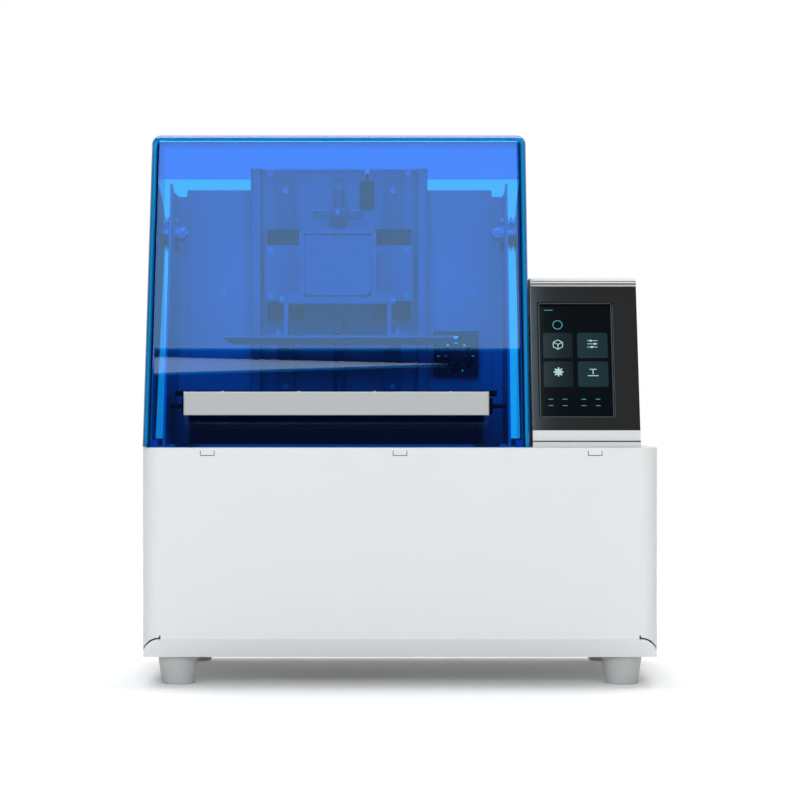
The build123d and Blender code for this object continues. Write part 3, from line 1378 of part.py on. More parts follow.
def console_trims():
    """Bright extruded strips across the head and the foot of the console."""
    foot = plate_yz([(CONSOLE_FRONT_YF - 1.5, DECK_TOP + 0.2), (CONSOLE_FRONT_YF - 1.5, 205.6),
                     (CONSOLE_FRONT_YF, 205.6), (CONSOLE_FRONT_YF, DECK_TOP + 0.2)],
                    CONSOLE_X0, CONSOLE_X1)
    return [foot]


def console_board():
    return slab_on_front(DISPLAY_W + 4, DISPLAY_L - 20, 1.6, DISPLAY_DX, DISPLAY_DU,
                         PANEL_T + 9.0)


# ================================================================== write parts
save(body_shell(), "body_shell")
save(base_pan(), "base_pan")
save_group([foot(x, y) for x, y in FEET], "feet")
save_group(chassis_screws(), "chassis_screws")
save(rear_panel(), "rear_panel")
save_group([power_inlet()] + inlet_pins() + [switch_bezel()] + data_ports(), "rear_sockets")
save(power_rocker(), "power_rocker")
save_group([fan_frame(FAN_SIZE, FAN_T, 17.0, EXHAUST_PLANE), exhaust_guard()],
           "exhaust_fan_frame")
save(fan_rotor(FAN_SIZE, FAN_T, 16.0, 7, EXHAUST_PLANE), "exhaust_fan_rotor")
save(deck_plate(), "deck_plate")
save_group([lcd_tray(), light_funnel()], "optics_housing")
save(lcd_panel(), "lcd_panel")
save(screen_glass(), "screen_glass")
save(collimating_lens(), "collimating_lens")
save_group([led_board()] + led_emitters(), "led_board")
save(heat_sink(), "heat_sink")
save(fan_frame(FAN_SIZE, FAN_T, 17.0, LED_FAN_PLANE), "led_fan_frame")
save(fan_rotor(FAN_SIZE, FAN_T, 16.0, 7, LED_FAN_PLANE), "led_fan_rotor")
save_group(mainboard() + mainboard_parts() + [console_board()], "circuit_boards")
save(power_supply(), "power_supply")
save(z_motor(), "z_motor")
save_group([motor_hanger(), screw_bearing()], "motor_mounts")
save(z_column(), "z_column")
save_group(linear_rails(), "linear_rails")
save_group(rail_screws() + column_screws() + wall_screws(), "tower_screws")
save(lead_screw(), "lead_screw")
save_group([shaft_coupler(), motor_shaft()], "shaft_coupler")
save_group([limit_switch()] + switch_screws(), "limit_switch")
save(switch_cable(), "switch_cable")
save_group(rail_blocks(), "rail_blocks")
save(carriage_plate(), "carriage_plate")
save_group(plate_screws(), "plate_screws")
save(screw_nut(), "screw_nut")
save(arm(), "arm")
save(clamp_hanger(), "clamp_hanger")
save_group([crossbar()] + platform_brackets(), "platform_brackets")
save_group(bracket_bolts(), "bracket_bolts")
save(build_plate(), "build_plate")
save(clamp_pad(), "clamp_pad")
save(clamp_knob(), "clamp_knob")
save_group(vat_frame(), "vat_frame")
save(film_layer(DECK_TOP + RING_T, FILM_T), "vat_film")
save_group([film_ring()] + ring_screws(), "film_ring")
for side_name, face_x, plate_x, out in clamp_places():
    save(vat_clamp_screw(face_x, plate_x, out), "vat_clamp_screw_" + side_name)
save_group([side_plate(x, s) for _, x, s in SIDES], "side_plates")
save_group([piece for _, x, s in SIDES for piece in [hinge_pin(x, s)] + hinge_discs(x, s)],
           "hinge_hardware")
save_group([back_wall(), rear_cover()], "back_wall")
save_group([filter_housing(), filter_core()], "filter_housing")
save_group([fan_frame(SMALL_FAN, SMALL_FAN_T, 9.0, CHAMBER_FAN_PLANE), chamber_fan_guard()],
           "chamber_fan_frame")
save(fan_rotor(SMALL_FAN, SMALL_FAN_T, 8.4, 7, CHAMBER_FAN_PLANE), "chamber_fan_rotor")
save(lid_shell(), "lid_shell")
save_group([lid_hinge_plate(x, s) for _, x, s in SIDES], "lid_hinge_plates")
save(lid_handle(), "lid_handle")
save_group(handle_screws(), "handle_screws")
save_group(lid_bumpers(), "lid_bumpers")
save(console_housing(), "console_housing")
save(console_panel(), "console_panel")
save(touch_display(), "touch_display")
save_group(console_trims() + [display_bezel()], "console_trims")
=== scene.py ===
"""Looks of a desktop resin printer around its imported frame.

Formulas in words: a hex colour becomes linear light by dividing each channel by 255 and
undoing the sRGB curve. A screw thread's radius at an angle and a height is its core radius
plus the thread depth times a clipped triangle wave of the height, less the lead for each
turn of the angle. A fan blade is a grid from hub to tip by leading to trailing edge, whose
pitch angle falls towards the tip and whose section is bowed by a parabola. A screw head is
a lathe profile with a hexagonal well. The knob's radius swells and shrinks four times a turn.
"""
import bpy
import math
import numpy as np
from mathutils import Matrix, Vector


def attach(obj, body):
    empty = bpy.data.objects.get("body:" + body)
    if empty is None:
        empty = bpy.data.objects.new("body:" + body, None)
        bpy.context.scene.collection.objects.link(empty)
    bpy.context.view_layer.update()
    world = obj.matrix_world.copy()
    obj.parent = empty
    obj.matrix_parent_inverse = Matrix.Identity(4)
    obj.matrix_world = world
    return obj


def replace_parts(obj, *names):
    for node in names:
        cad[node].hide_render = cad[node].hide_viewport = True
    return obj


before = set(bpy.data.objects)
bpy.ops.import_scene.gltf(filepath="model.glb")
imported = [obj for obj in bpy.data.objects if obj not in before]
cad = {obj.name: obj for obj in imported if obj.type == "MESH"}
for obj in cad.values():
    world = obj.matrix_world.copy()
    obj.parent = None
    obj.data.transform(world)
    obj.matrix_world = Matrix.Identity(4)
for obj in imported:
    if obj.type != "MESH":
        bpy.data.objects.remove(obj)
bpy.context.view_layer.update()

# ------------------------------------------------------------------ body and deck
# Bent sheet-steel case with a folded-back lower skirt and a separate deck on top, both
# powder coated off-white. The skirt's ends are notched so that the sheet can be folded.
def rgb(code):
    """Linear colour, with alpha, of an sRGB hex code."""
    channels = [int(code[i:i + 2], 16) / 255 for i in (0, 2, 4)]
    return [c / 12.92 if c <= 0.04045 else ((c + 0.055) / 1.055) ** 2.4 for c in channels] + [1.0]


def add(tree, kind, links=(), **values):
    """A shader node, with its input values set and other nodes' outputs linked in."""
    made = tree.nodes.new(kind)
    for key, value in values.items():
        if key in made.inputs:
            made.inputs[key].default_value = value
        else:
            setattr(made, key, value)
    for source, output, target in links:
        tree.links.new(source.outputs[output], made.inputs[target])
    return made


def surface(name, colour, rough, metal=0.0, grain=1200.0, depth=0.00002, stretch=(1, 1, 1),
            uneven=0.06, coat=0.0):
    """Material with a fine grain in its height, roughness and tone, at real scale."""
    material = bpy.data.materials.new(name)
    material.use_nodes = True
    tree = material.node_tree
    tree.nodes.clear()
    place = add(tree, "ShaderNodeTexCoord")
    scaled = add(tree, "ShaderNodeMapping", [(place, "Object", "Vector")], Scale=stretch)
    fine = add(tree, "ShaderNodeTexNoise", [(scaled, "Vector", "Vector")], Scale=grain, Detail=3.0)
    broad = add(tree, "ShaderNodeTexNoise", [(place, "Object", "Vector")], Scale=14.0, Detail=4.0)
    base = rgb(colour)
    dark = [c * (1 - uneven) for c in base[:3]] + [1.0]
    tone = add(tree, "ShaderNodeMix", [(broad, "Fac", "Factor")], data_type="RGBA")
    tone.inputs[6].default_value = dark
    tone.inputs[7].default_value = base
    gloss = add(tree, "ShaderNodeMapRange", [(fine, "Fac", "Value")])
    gloss.inputs["To Min"].default_value = rough * 0.88
    gloss.inputs["To Max"].default_value = min(1.0, rough * 1.12)
    bump = add(tree, "ShaderNodeBump", [(fine, "Fac", "Height")], Strength=0.35, Distance=depth)
    body = add(tree, "ShaderNodeBsdfPrincipled",
               [(tone, 2, "Base Color"), (gloss, "Result", "Roughness"), (bump, "Normal", "Normal")],
               Metallic=metal)
    body.inputs["Coat Weight"].default_value = coat
    body.inputs["Coat Roughness"].default_value = 0.04
    add(tree, "ShaderNodeOutputMaterial", [(body, "BSDF", "Surface")])
    return material


def dress(material, *names):
    """Gives frame nodes their material."""
    for name in names:
        cad[name].data.materials.clear()
        cad[name].data.materials.append(material)


white_coat = surface("powder_coat_off_white", "e6e6e6", 0.46, grain=1500.0, depth=0.00003,
                     uneven=0.015)
dress(white_coat, "body_shell", "deck_plate")

# ------------------------------------------------------------------ base and rear
# Zinc-plated folded sheet: the base tray and the inner brackets. The rear panel is
# coated dark grey; it carries the inlet, the rocker, the data sockets and the fan.
zinc = surface("zinc_plated_sheet", "a3a5a6", 0.34, metal=1.0, grain=500.0, depth=0.00001)
dress(zinc, "base_pan", "motor_mounts", "power_supply", "film_ring")
dark_coat = surface("powder_coat_dark_grey", "3a3b3d", 0.5, grain=1500.0, depth=0.00003)
dress(dark_coat, "rear_panel")
black_nylon = surface("black_nylon_moulding", "18181a", 0.5, grain=1300.0, depth=0.00004)
dress(black_nylon, "rear_sockets", "exhaust_fan_frame", "led_fan_frame", "filter_housing",
      "chamber_fan_frame", "optics_housing", "limit_switch")
rocker_black = surface("rocker_gloss_black", "101012", 0.22, grain=900.0, depth=0.00001)
dress(rocker_black, "power_rocker")

# ------------------------------------------------------------------ feet
# Four tapered feet of light grey rubber, each held by a screw in its underside pocket.
foot_rubber = surface("light_grey_rubber", "bcbcbc", 0.6, grain=900.0, depth=0.00004, uneven=0.04)
dress(foot_rubber, "feet")
bright_steel = surface("zinc_plated_screw", "c9cacb", 0.27, metal=1.0, grain=800.0, depth=0.00001)
dress(bright_steel, "chassis_screws", "hinge_hardware")

# ------------------------------------------------------------------ optics
# Masking screen under a thin sheet of glass, a clear collimating lens below it, and the
# lamp board on its finned aluminium heat sink with a fan underneath.
screen_black = surface("exposure_screen_glass", "0a0b0d", 0.06, grain=300.0, depth=0.000002)
dress(screen_black, "screen_glass", "lcd_panel")
clear_lens = surface("clear_acrylic_lens", "d9e0e6", 0.08, grain=300.0, depth=0.000002)
dress(clear_lens, "collimating_lens")
solder_mask = surface("green_solder_mask", "135a33", 0.3, grain=700.0, depth=0.00002)
dress(solder_mask, "led_board", "circuit_boards")
milled = surface("milled_aluminium", "c4c6c9", 0.36, metal=0.6, grain=300.0, depth=0.00001,
                 stretch=(0.15, 6, 6))
dress(milled, "heat_sink", "shaft_coupler", "build_plate")
motor_paint = surface("motor_black_enamel", "161616", 0.4)
dress(motor_paint, "z_motor")

# ------------------------------------------------------------------ tower
# Grey anodised aluminium column with raised side bars, two ground steel rails screwed
# to it, and the black blocks and grey plate of the carriage that run on them.
anodised = surface("grey_anodised_aluminium", "bcc0c8", 0.42, metal=0.15, grain=1600.0,
                   depth=0.00002)
dress(anodised, "z_column", "carriage_plate", "arm", "clamp_hanger", "platform_brackets")
wall_coat = surface("powder_coat_mid_grey", "dcdfe4", 0.5, grain=1500.0, depth=0.00003)
dress(wall_coat, "back_wall", "side_plates", "lid_hinge_plates")
black_anodised = surface("black_anodised_aluminium", "1b1c20", 0.38, metal=0.4, grain=1600.0,
                         depth=0.00002)
dress(black_anodised, "rail_blocks", "vat_clamp_screw_left", "vat_clamp_screw_right")
ground_steel = surface("ground_rail_steel", "8d9095", 0.4, metal=0.5, grain=900.0, depth=0.00001,
                       stretch=(4, 4, 0.1))
dress(ground_steel, "linear_rails")
cable_skin = surface("black_cable_sleeve", "0e0e0f", 0.55, grain=900.0, depth=0.00005)
dress(cable_skin, "switch_cable")
bronze = surface("turned_brass", "b08d48", 0.3, metal=1.0, grain=600.0, depth=0.00001)
dress(bronze, "screw_nut", "clamp_pad")

# ------------------------------------------------------------------ lead screw
# Steel screw of 10 mm with a two-start trapezoidal thread of 5 mm lead, plain at the top
# where it is turned down, and plain at its foot for the bearing and the coupler.
def piece(name, points, faces, material, body, smooth=True):
    """New mesh piece that rides on a body."""
    mesh = bpy.data.meshes.new(name)
    mesh.from_pydata([tuple(map(float, p)) for p in points], [], [tuple(map(int, f)) for f in faces])
    mesh.validate()
    mesh.polygons.foreach_set("use_smooth", [smooth] * len(mesh.polygons))
    mesh.materials.append(material)
    made = bpy.data.objects.new(name, mesh)
    bpy.context.scene.collection.objects.link(made)
    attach(made, body)
    return made


def grid_faces(rows, columns, wrap=False, start=0):
    """Quads of a grid of points, closed round its columns if asked."""
    faces = []
    last = columns if wrap else columns - 1
    for i in range(rows - 1):
        for j in range(last):
            k = (j + 1) % columns
            faces.append((start + i * columns + j, start + i * columns + k,
                          start + (i + 1) * columns + k, start + (i + 1) * columns + j))
    return faces


cx, screw_y = -0.0545, 0.024
around_count = 48
pitch, lead = 0.0025, 0.005
core_radius, thread_depth = 0.0040, 0.00098
turns_z = np.arange(0.212, 0.4292, 0.0004)
angles = np.linspace(0, 2 * np.pi, around_count, endpoint=False)
wave = np.abs(((turns_z[:, None] - lead * angles[None, :] / (2 * np.pi)) / pitch) % 1.0 - 0.5) * 2
radius = core_radius + thread_depth * np.clip(wave * 1.9 - 0.45, 0, 1)
ends = [(0.1203, 0.0), (0.1204, 0.0033), (0.1298, 0.0033), (0.1301, 0.0049), (0.2112, 0.0049)]
tops = [(0.4300, 0.0040), (0.4301, 0.0033), (0.4394, 0.0033), (0.4399, 0.0028), (0.4399, 0.0)]
heights = np.concatenate([[e[0] for e in ends], turns_z, [e[0] for e in tops]])
radii = np.vstack([np.repeat([[e[1]] for e in ends], around_count, 1), radius,
                   np.repeat([[e[1]] for e in tops], around_count, 1)])
thread_points = np.stack([cx + radii * np.cos(angles), screw_y + radii * np.sin(angles),
                          np.repeat(heights[:, None], around_count, 1)], -1).reshape(-1, 3)
rolled_steel = surface("rolled_thread_steel", "c9cbce", 0.34, metal=0.6, grain=900.0, depth=0.00001)
thread = piece("lead_screw_thread", thread_points, grid_faces(len(heights), around_count, True),
               rolled_steel, "screw")
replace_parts(thread, "lead_screw")

# ------------------------------------------------------------------ socket screws
# Cap screws with a chamfered rim and a hexagonal well. They hold the rails, the column,
# the carriage plate, the back wall and the platform's brackets.
def place_along(points, origin, direction):
    """Points modelled up +Z, stood on an origin along a direction."""
    z = np.array(direction, float) / np.linalg.norm(direction)
    helper = np.array((1.0, 0, 0)) if abs(z[0]) < 0.9 else np.array((0, 1.0, 0))
    x = np.cross(helper, z) / np.linalg.norm(np.cross(helper, z))
    y = np.cross(z, x)
    return np.array(points) @ np.array([x, y, z]) + np.array(origin)


socket_steel = surface("bright_socket_screw", "e0e1e3", 0.32, metal=0.5, grain=700.0, depth=0.00001)


def cap_heads(name, places, node, body):
    """One mesh of screw heads; each place is a seat, an outward direction, a radius, a height."""
    points, faces = [], []
    around = np.linspace(0, 2 * np.pi, 36, endpoint=False)
    hexagon = np.cos(np.pi / 6) / np.cos((around + np.pi / 6) % (np.pi / 3) - np.pi / 6)
    for seat, direction, r, h in places:
        rings = [(r, 0.0), (r, h * 0.86), (r * 0.9, h), (r * 0.58, h)]
        rows = [np.stack([q * np.cos(around), q * np.sin(around), np.full(36, z)], -1)
                for q, z in rings]
        for q, z in ((0.5, h), (0.5, h * 0.4), (0.0, h * 0.4)):
            rows.append(np.stack([r * q * hexagon * np.cos(around), r * q * hexagon * np.sin(around),
                                  np.full(36, z)], -1))
        placed = place_along(np.concatenate(rows), seat, direction)
        faces += grid_faces(len(rows), 36, True, len(points))
        points += list(placed)
    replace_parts(piece(name, points, faces, socket_steel, body, smooth=False), node)


rail_reach = 0.048
column_reach = 0.062
tower = []
for x in (cx - rail_reach, cx + rail_reach):
    for k in range(4):
        tower.append(((x, 0.0265, 0.4286 - 0.0584 * k), (0, -1, 0), 0.0029, 0.0027))
for x in (cx - column_reach, cx + column_reach):
    for z in (0.215, 0.4444):
        tower.append(((x, 0.033, z), (0, -1, 0), 0.0033, 0.0024))
for x in (cx - 0.1047, cx + 0.1207):
    tower.append(((x, 0.043, 0.3381), (0, -1, 0), 0.0039, 0.0018))
cap_heads("tower_screw_heads", tower, "tower_screws", "chassis")
carriage = [((cx + s * rail_reach + e * 0.0125, 0.011, 0.329 + h), (0, -1, 0), 0.0028, 0.0018)
            for s in (-1, 1) for e in (-1, 1) for h in (0.005, 0.045)]
cap_heads("carriage_screw_heads", carriage, "plate_screws", "carriage")
bolts = []
for s in (-1, 1):
    for d in (0.008, 0.032):
        bolts.append(((cx + s * 0.0523, -0.051 + d, 0.2994), (0, 0, 1), 0.0035, 0.004))
        bolts.append(((cx + s * 0.0468, -0.051 + d, 0.3282), (s, 0, 0), 0.0035, 0.004))
cap_heads("bracket_bolt_heads", bolts, "bracket_bolts", "platform")

# ------------------------------------------------------------------ clamp knob
# Cast and polished four-lobed knob on a turned hub; its screw presses the pad on the arm.
knob_y = -0.031
knob_count = 128
turn = np.linspace(0, 2 * np.pi, knob_count, endpoint=False)
lobes = 0.0176 + 0.0042 * np.cos(4 * turn) + 0.0002 * np.cos(8 * turn)
rings = [(0.3859, 0.0), (0.3859, 0.0039), (0.3924, 0.0039), (0.3926, 0.0073), (0.3998, 0.0073)]
rows = [np.stack([cx + r * np.cos(turn), knob_y + r * np.sin(turn), np.full(knob_count, z)], -1)
        for z, r in rings]
for z, q in ((0.4000, 0.90), (0.4004, 0.97), (0.4012, 1.0), (0.4066, 1.0), (0.4076, 0.96),
             (0.4080, 0.88), (0.4080, 0.5)):
    r = lobes * q
    rows.append(np.stack([cx + r * np.cos(turn), knob_y + r * np.sin(turn), np.full(knob_count, z)], -1))
rows.append(np.stack([np.full(knob_count, value) for value in (cx, knob_y, 0.4080)], -1))
polished = surface("polished_cast_aluminium", "d2d4d7", 0.32, metal=0.6, grain=500.0, depth=0.00001)
knob = piece("clamp_knob_casting", np.concatenate(rows), grid_faces(len(rows), knob_count, True),
             polished, "clamp_knob")
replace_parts(knob, "clamp_knob")

# ------------------------------------------------------------------ fan rotors
# Moulded rotors: a hub cup and seven bowed, twisted blades, thin at their trailing edge.
fan_black = surface("fan_rotor_moulding", "141416", 0.36, grain=900.0, depth=0.00002)


def rotor(name, node, body, origin, direction, hub, tip, low, high):
    """Hub with a rounded rim and seven blades as closed grids."""
    points, faces = [], []
    ring = np.linspace(0, 2 * np.pi, 60, endpoint=False)
    profile = [(0.0, low), (hub * 0.96, low), (hub, low + 0.0004), (hub, high - 0.0012),
               (hub * 0.93, high), (hub * 0.55, high), (hub * 0.5, high - 0.0003), (0.0, high - 0.0003)]
    for r, z in profile:
        points += [(r * math.cos(a), r * math.sin(a), z) for a in ring]
    faces += grid_faces(len(profile), 60, True)
    spans, chords = 14, 13
    side_points = spans * chords
    span = np.linspace(hub * 0.97, tip, spans)
    chord = np.linspace(-1, 1, chords)
    middle, half = (low + high) / 2, (high - low) / 2 * 0.9
    for b in range(7):
        start = len(points)
        for side in (1, -1):
            for r in span:
                lean = math.radians(52 - 18 * (r - hub) / (tip - hub))
                for c in chord:
                    bow = 0.18 * half * (1 - c * c)
                    thick = side * 0.03 * half * (1.4 - c) * math.sqrt(max(0.0, 1 - c ** 4))
                    angle = 2 * math.pi * b / 7 + (c * half / math.tan(lean) * 0.9 + bow + thick) / r
                    points.append((r * math.cos(angle), r * math.sin(angle), middle + c * half))
        faces += grid_faces(spans, chords, False, start)
        faces += grid_faces(spans, chords, False, start + side_points)
        for j in range(chords - 1):
            outer = start + side_points - chords + j
            inner = outer + side_points
            faces.append((outer, outer + 1, inner + 1, inner))
    placed = place_along(points, origin, direction)
    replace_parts(piece(name, placed, faces, fan_black, body), node)


rotor("exhaust_rotor_moulding", "exhaust_fan_rotor", "exhaust_rotor", (cx, 0.1365, 0.108), (0, 1, 0),
      0.016, 0.0365, 0.0040, 0.0242)
rotor("lamp_fan_rotor_moulding", "led_fan_rotor", "led_rotor", (cx, -0.053, 0.033), (0, 0, 1),
      0.016, 0.0365, 0.0040, 0.0242)
rotor("chamber_rotor_moulding", "chamber_fan_rotor", "chamber_rotor", (0.0504, 0.043, 0.2828),
      (0, -1, 0), 0.0084, 0.0178, 0.0019, 0.0094)

# ------------------------------------------------------------------ vat
# Gloss black moulded vat with a rim to lift it by, and a clear release film under it.
vat_gloss = surface("vat_gloss_black", "0b0b0d", 0.1, grain=200.0, depth=0.000004, coat=0.6)
dress(vat_gloss, "vat_frame")
film = surface("clear_release_film", "c8d2da", 0.12, grain=120.0, depth=0.00002)
dress(film, "vat_film")

# ------------------------------------------------------------------ lid
# Shell of 4.5 mm tinted acrylic, bent and bonded. A wall passes deep blue, scatters a little, and
# mirrors what stands before it.
# In the last millimetre of its sides it carries painted highlights of bright cyan between painted dark
# shade lines, and its top edge is painted as a denser, darker blue shade line.
acrylic = bpy.data.materials.new("tinted_blue_acrylic")
acrylic.use_nodes = True
tree = acrylic.node_tree
tree.nodes.clear()
where = add(tree, "ShaderNodeTexCoord")
axes = add(tree, "ShaderNodeSeparateXYZ", [(where, "Object", "Vector")])
from_middle = add(tree, "ShaderNodeMath", [(axes, "X", 0)], operation="ADD")
lid_middle_shift = 0.0535
lid_inner_half = 0.1535
from_middle.inputs[1].default_value = lid_middle_shift
sideways = add(tree, "ShaderNodeMath", [(from_middle, 0, 0)], operation="ABSOLUTE")
from_face = add(tree, "ShaderNodeMath", [(sideways, 0, 0)], operation="SUBTRACT")
from_face.inputs[1].default_value = lid_inner_half
edge_depth = add(tree, "ShaderNodeMath", [(from_face, 0, 0)], operation="MULTIPLY")
edge_depth.inputs[1].default_value = 100.0
# Painted edge light: by distance from the middle, the wall's own deep blue gives way in the last
# millimetre of each side to a painted dark shade line, a painted bright cyan highlight, and a second
# painted dark shade line.
painted_edge_light_ramp = add(tree, "ShaderNodeValToRGB", [(edge_depth, 0, "Fac")])
stops = [(0.0, (0.0, 0.10, 0.60, 1)), (0.50, (0.0, 0.10, 0.60, 1)), (0.56, (0.0, 0.02, 0.06, 1)),
         (0.62, (0.01, 0.45, 0.95, 1)), (0.80, (0.01, 0.32, 0.85, 1)), (0.88, (0.0, 0.02, 0.05, 1))]
while len(painted_edge_light_ramp.color_ramp.elements) < len(stops):
    painted_edge_light_ramp.color_ramp.elements.new(0.5)
for element, (at, colour) in zip(painted_edge_light_ramp.color_ramp.elements, stops):
    element.position, element.color = at, colour
side_edge = add(tree, "ShaderNodeMapRange", [(sideways, 0, "Value")], interpolation_type="SMOOTHSTEP")
side_edge.inputs["From Min"].default_value = 0.1588
side_edge.inputs["From Max"].default_value = 0.1600
top_edge = add(tree, "ShaderNodeMapRange", [(axes, "Z", "Value")], interpolation_type="SMOOTHSTEP")
top_edge.inputs["From Min"].default_value = 0.4680
top_edge.inputs["From Max"].default_value = 0.4700
painted_edge_mask = add(tree, "ShaderNodeMath", [(side_edge, 0, 0), (top_edge, 0, 1)], operation="MAXIMUM")
# The wall scatters a little everywhere. Near the sides and the top edge it turns half opaque, so that
# the painted highlight and painted shade colours show there.
scatter_and_painted_edges = add(tree, "ShaderNodeMapRange", [(painted_edge_mask, 0, "Value")])
scatter_and_painted_edges.inputs["To Min"].default_value = 0.012
scatter_and_painted_edges.inputs["To Max"].default_value = 0.5
through = add(tree, "ShaderNodeBsdfTransparent", Color=(0.08, 0.60, 0.97, 1))
bulk = add(tree, "ShaderNodeBsdfPrincipled", [(painted_edge_light_ramp, "Color", "Base Color")], Roughness=0.03)
mirror_part = add(tree, "ShaderNodeBsdfGlossy", Roughness=0.004)
fresnel = add(tree, "ShaderNodeFresnel", IOR=1.49)
filled = add(tree, "ShaderNodeMixShader",
             [(scatter_and_painted_edges, "Result", 0), (through, "BSDF", 1), (bulk, "BSDF", 2)])
whole = add(tree, "ShaderNodeMixShader",
            [(fresnel, 0, 0), (filled, 0, 1), (mirror_part, "BSDF", 2)])
add(tree, "ShaderNodeOutputMaterial", [(whole, 0, "Surface")])
dress(acrylic, "lid_shell")
satin_grey = surface("brushed_grey_anodised", "b4b5b6", 0.36, metal=0.4, grain=1400.0,
                     depth=0.00002, stretch=(0.06, 5, 5), uneven=0.02)
dress(satin_grey, "lid_handle")
dress(bright_steel, "handle_screws")
bumper = surface("soft_blue_silicone", "5aa6d8", 0.4, grain=600.0, depth=0.00002)
dress(bumper, "lid_bumpers")

# ------------------------------------------------------------------ console
# White moulded housing with a leaning gloss black front, bright strips at head and foot,
# and a touch display behind the window.
console_white = surface("console_white_moulding", "e2e2e2", 0.42, grain=1400.0, depth=0.00003,
                        uneven=0.015)
dress(console_white, "console_housing")
piano = surface("console_gloss_black", "2b2b2b", 0.07, grain=200.0, depth=0.000003, coat=0.4)
dress(piano, "console_panel")
display_glass = surface("display_cover_glass", "060e12", 0.05, grain=100.0, depth=0.000001)
dress(display_glass, "touch_display")

# ------------------------------------------------------------------ console strips
# Bright extruded strips let into the console's head and foot, with thin black shadow
# lines beside them where the parts meet.
def bars(name, boxes, material):
    """Boxes given by their low and high corners, as one mesh."""
    points, faces = [], []
    for low, high in boxes:
        k = len(points)
        points += [(x, y, z) for z in (low[2], high[2]) for y in (low[1], high[1])
                   for x in (low[0], high[0])]
        faces += [(k, k + 2, k + 3, k + 1), (k + 4, k + 5, k + 7, k + 6), (k, k + 1, k + 5, k + 4),
                  (k + 2, k + 6, k + 7, k + 3), (k, k + 4, k + 6, k + 2), (k + 1, k + 3, k + 7, k + 5)]
    return piece(name, points, faces, material, "chassis", smooth=False)


bright_trim = surface("bright_trim", "e8e8e9", 0.25, metal=0.5, grain=800.0, depth=0.00001,
                      stretch=(0.1, 6, 6))
shadow_line = surface("shadow_line_black", "1a1a1a", 0.4)
strips = bars("console_bright_strips", [((0.112, -0.1575, 0.2012), (0.203, -0.1560, 0.2056)),
                                        ((0.112, -0.0950, 0.3414), (0.203, -0.0925, 0.3428))],
              bright_trim)
bars("console_shadow_lines", [((0.112, -0.1568, 0.2058), (0.203, -0.1558, 0.2066)),
                              ((0.112, -0.0945, 0.3429), (0.203, -0.0922, 0.3434)),
                              ((0.112, -0.0952, 0.3404), (0.203, -0.0925, 0.3413))],
     shadow_line)

# ------------------------------------------------------------------ display picture
# Thin lit shapes on the display inside a thin dark bezel: two columns of menu tiles with
# plain symbols, and small status marks. They carry no words.
lean = math.radians(24.5)
across = np.array((1.0, 0, 0))
upwards = np.array((0, math.sin(lean), math.cos(lean)))
outwards = np.array((0, -math.cos(lean), math.sin(lean)))
panel_z = (0.2148 + 0.3386) / 2
panel_y = (9.0 + 5.0 + (panel_z * 1000 - 214.8) * math.tan(lean)) / 1000 - 0.165
middle = np.array((0.1575, panel_y, panel_z)) - 0.0075 * across - 0.0012 * upwards
glass_face = middle - 0.0029 * outwards


def lit(name, colour, strength):
    """Faintly lit area of a display."""
    material = bpy.data.materials.new(name)
    material.use_nodes = True
    tree = material.node_tree
    body = tree.nodes["Principled BSDF"]
    body.inputs["Base Color"].default_value = rgb(colour)
    body.inputs["Roughness"].default_value = 0.1
    body.inputs["Emission Color"].default_value = rgb(colour)
    body.inputs["Emission Strength"].default_value = strength
    return material


def flat_shape(name, outlines, material, lift=0.00005):
    """Flat polygons on the display, in metres across and up from its middle."""
    points, faces = [], []
    for outline in outlines:
        faces.append(tuple(range(len(points), len(points) + len(outline))))
        points += [glass_face + across * u + upwards * v + outwards * lift for u, v in outline]
    return piece(name, points, faces, material, "chassis", smooth=False)


def rounded(u, v, w, h, r):
    """Rounded rectangle."""
    outline = []
    for sx, sy, a0 in ((1, 1, 0), (-1, 1, 90), (-1, -1, 180), (1, -1, 270)):
        for k in range(6):
            a = math.radians(a0 + 18 * k)
            outline.append((u + sx * (w / 2 - r) + r * math.cos(a),
                            v + sy * (h / 2 - r) + r * math.sin(a)))
    return outline


def stroke(u0, v0, u1, v1, w):
    """Straight bar between two points."""
    d = np.array((u1 - u0, v1 - v0)) / math.hypot(u1 - u0, v1 - v0) * w / 2
    return [(u0 - d[1], v0 + d[0]), (u0 + d[1], v0 - d[0]),
            (u1 + d[1], v1 - d[0]), (u1 - d[1], v1 + d[0])]


def disc(u, v, r, count=24):
    """Round dot."""
    return [(u + r * math.cos(2 * math.pi * k / count), v + r * math.sin(2 * math.pi * k / count))
            for k in range(count)]


frame_u, frame_v = 0.0310, 0.0534
bezel = flat_shape("display_bezel", [stroke(-frame_u, -frame_v, frame_u, -frame_v, 0.0010),
                                     stroke(-frame_u, frame_v, frame_u, frame_v, 0.0010),
                                     stroke(-frame_u, -frame_v, -frame_u, frame_v, 0.0010),
                                     stroke(frame_u, -frame_v, frame_u, frame_v, 0.0010)],
                   surface("bezel_dark_grey", "3c3e40", 0.3), 0.0020)
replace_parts(bezel, "console_trims")
dim_glow = lit("display_tile_dim", "0a1214", 0.25)
tile_glow = lit("display_tile", "16292f", 0.35)
mark_glow = lit("display_mark", "3f8f99", 0.4)
white_glow = lit("display_symbol", "a9c8cc", 0.4)
left_u, right_u = -0.015, 0.0145
tile_rows = (0.0145, -0.0125)
flat_shape("display_tiles_left", [rounded(left_u, v, 0.025, 0.024, 0.002) for v in tile_rows],
           dim_glow)
flat_shape("display_tiles_right", [rounded(right_u, v, 0.026, 0.024, 0.002) for v in tile_rows],
           tile_glow)
symbol_v = 0.0155
crown = (left_u, symbol_v + 0.0042)
left, right = (left_u - 0.004, symbol_v + 0.002), (left_u + 0.004, symbol_v + 0.002)
near, foot = (left_u, symbol_v), (left_u, symbol_v - 0.0046)
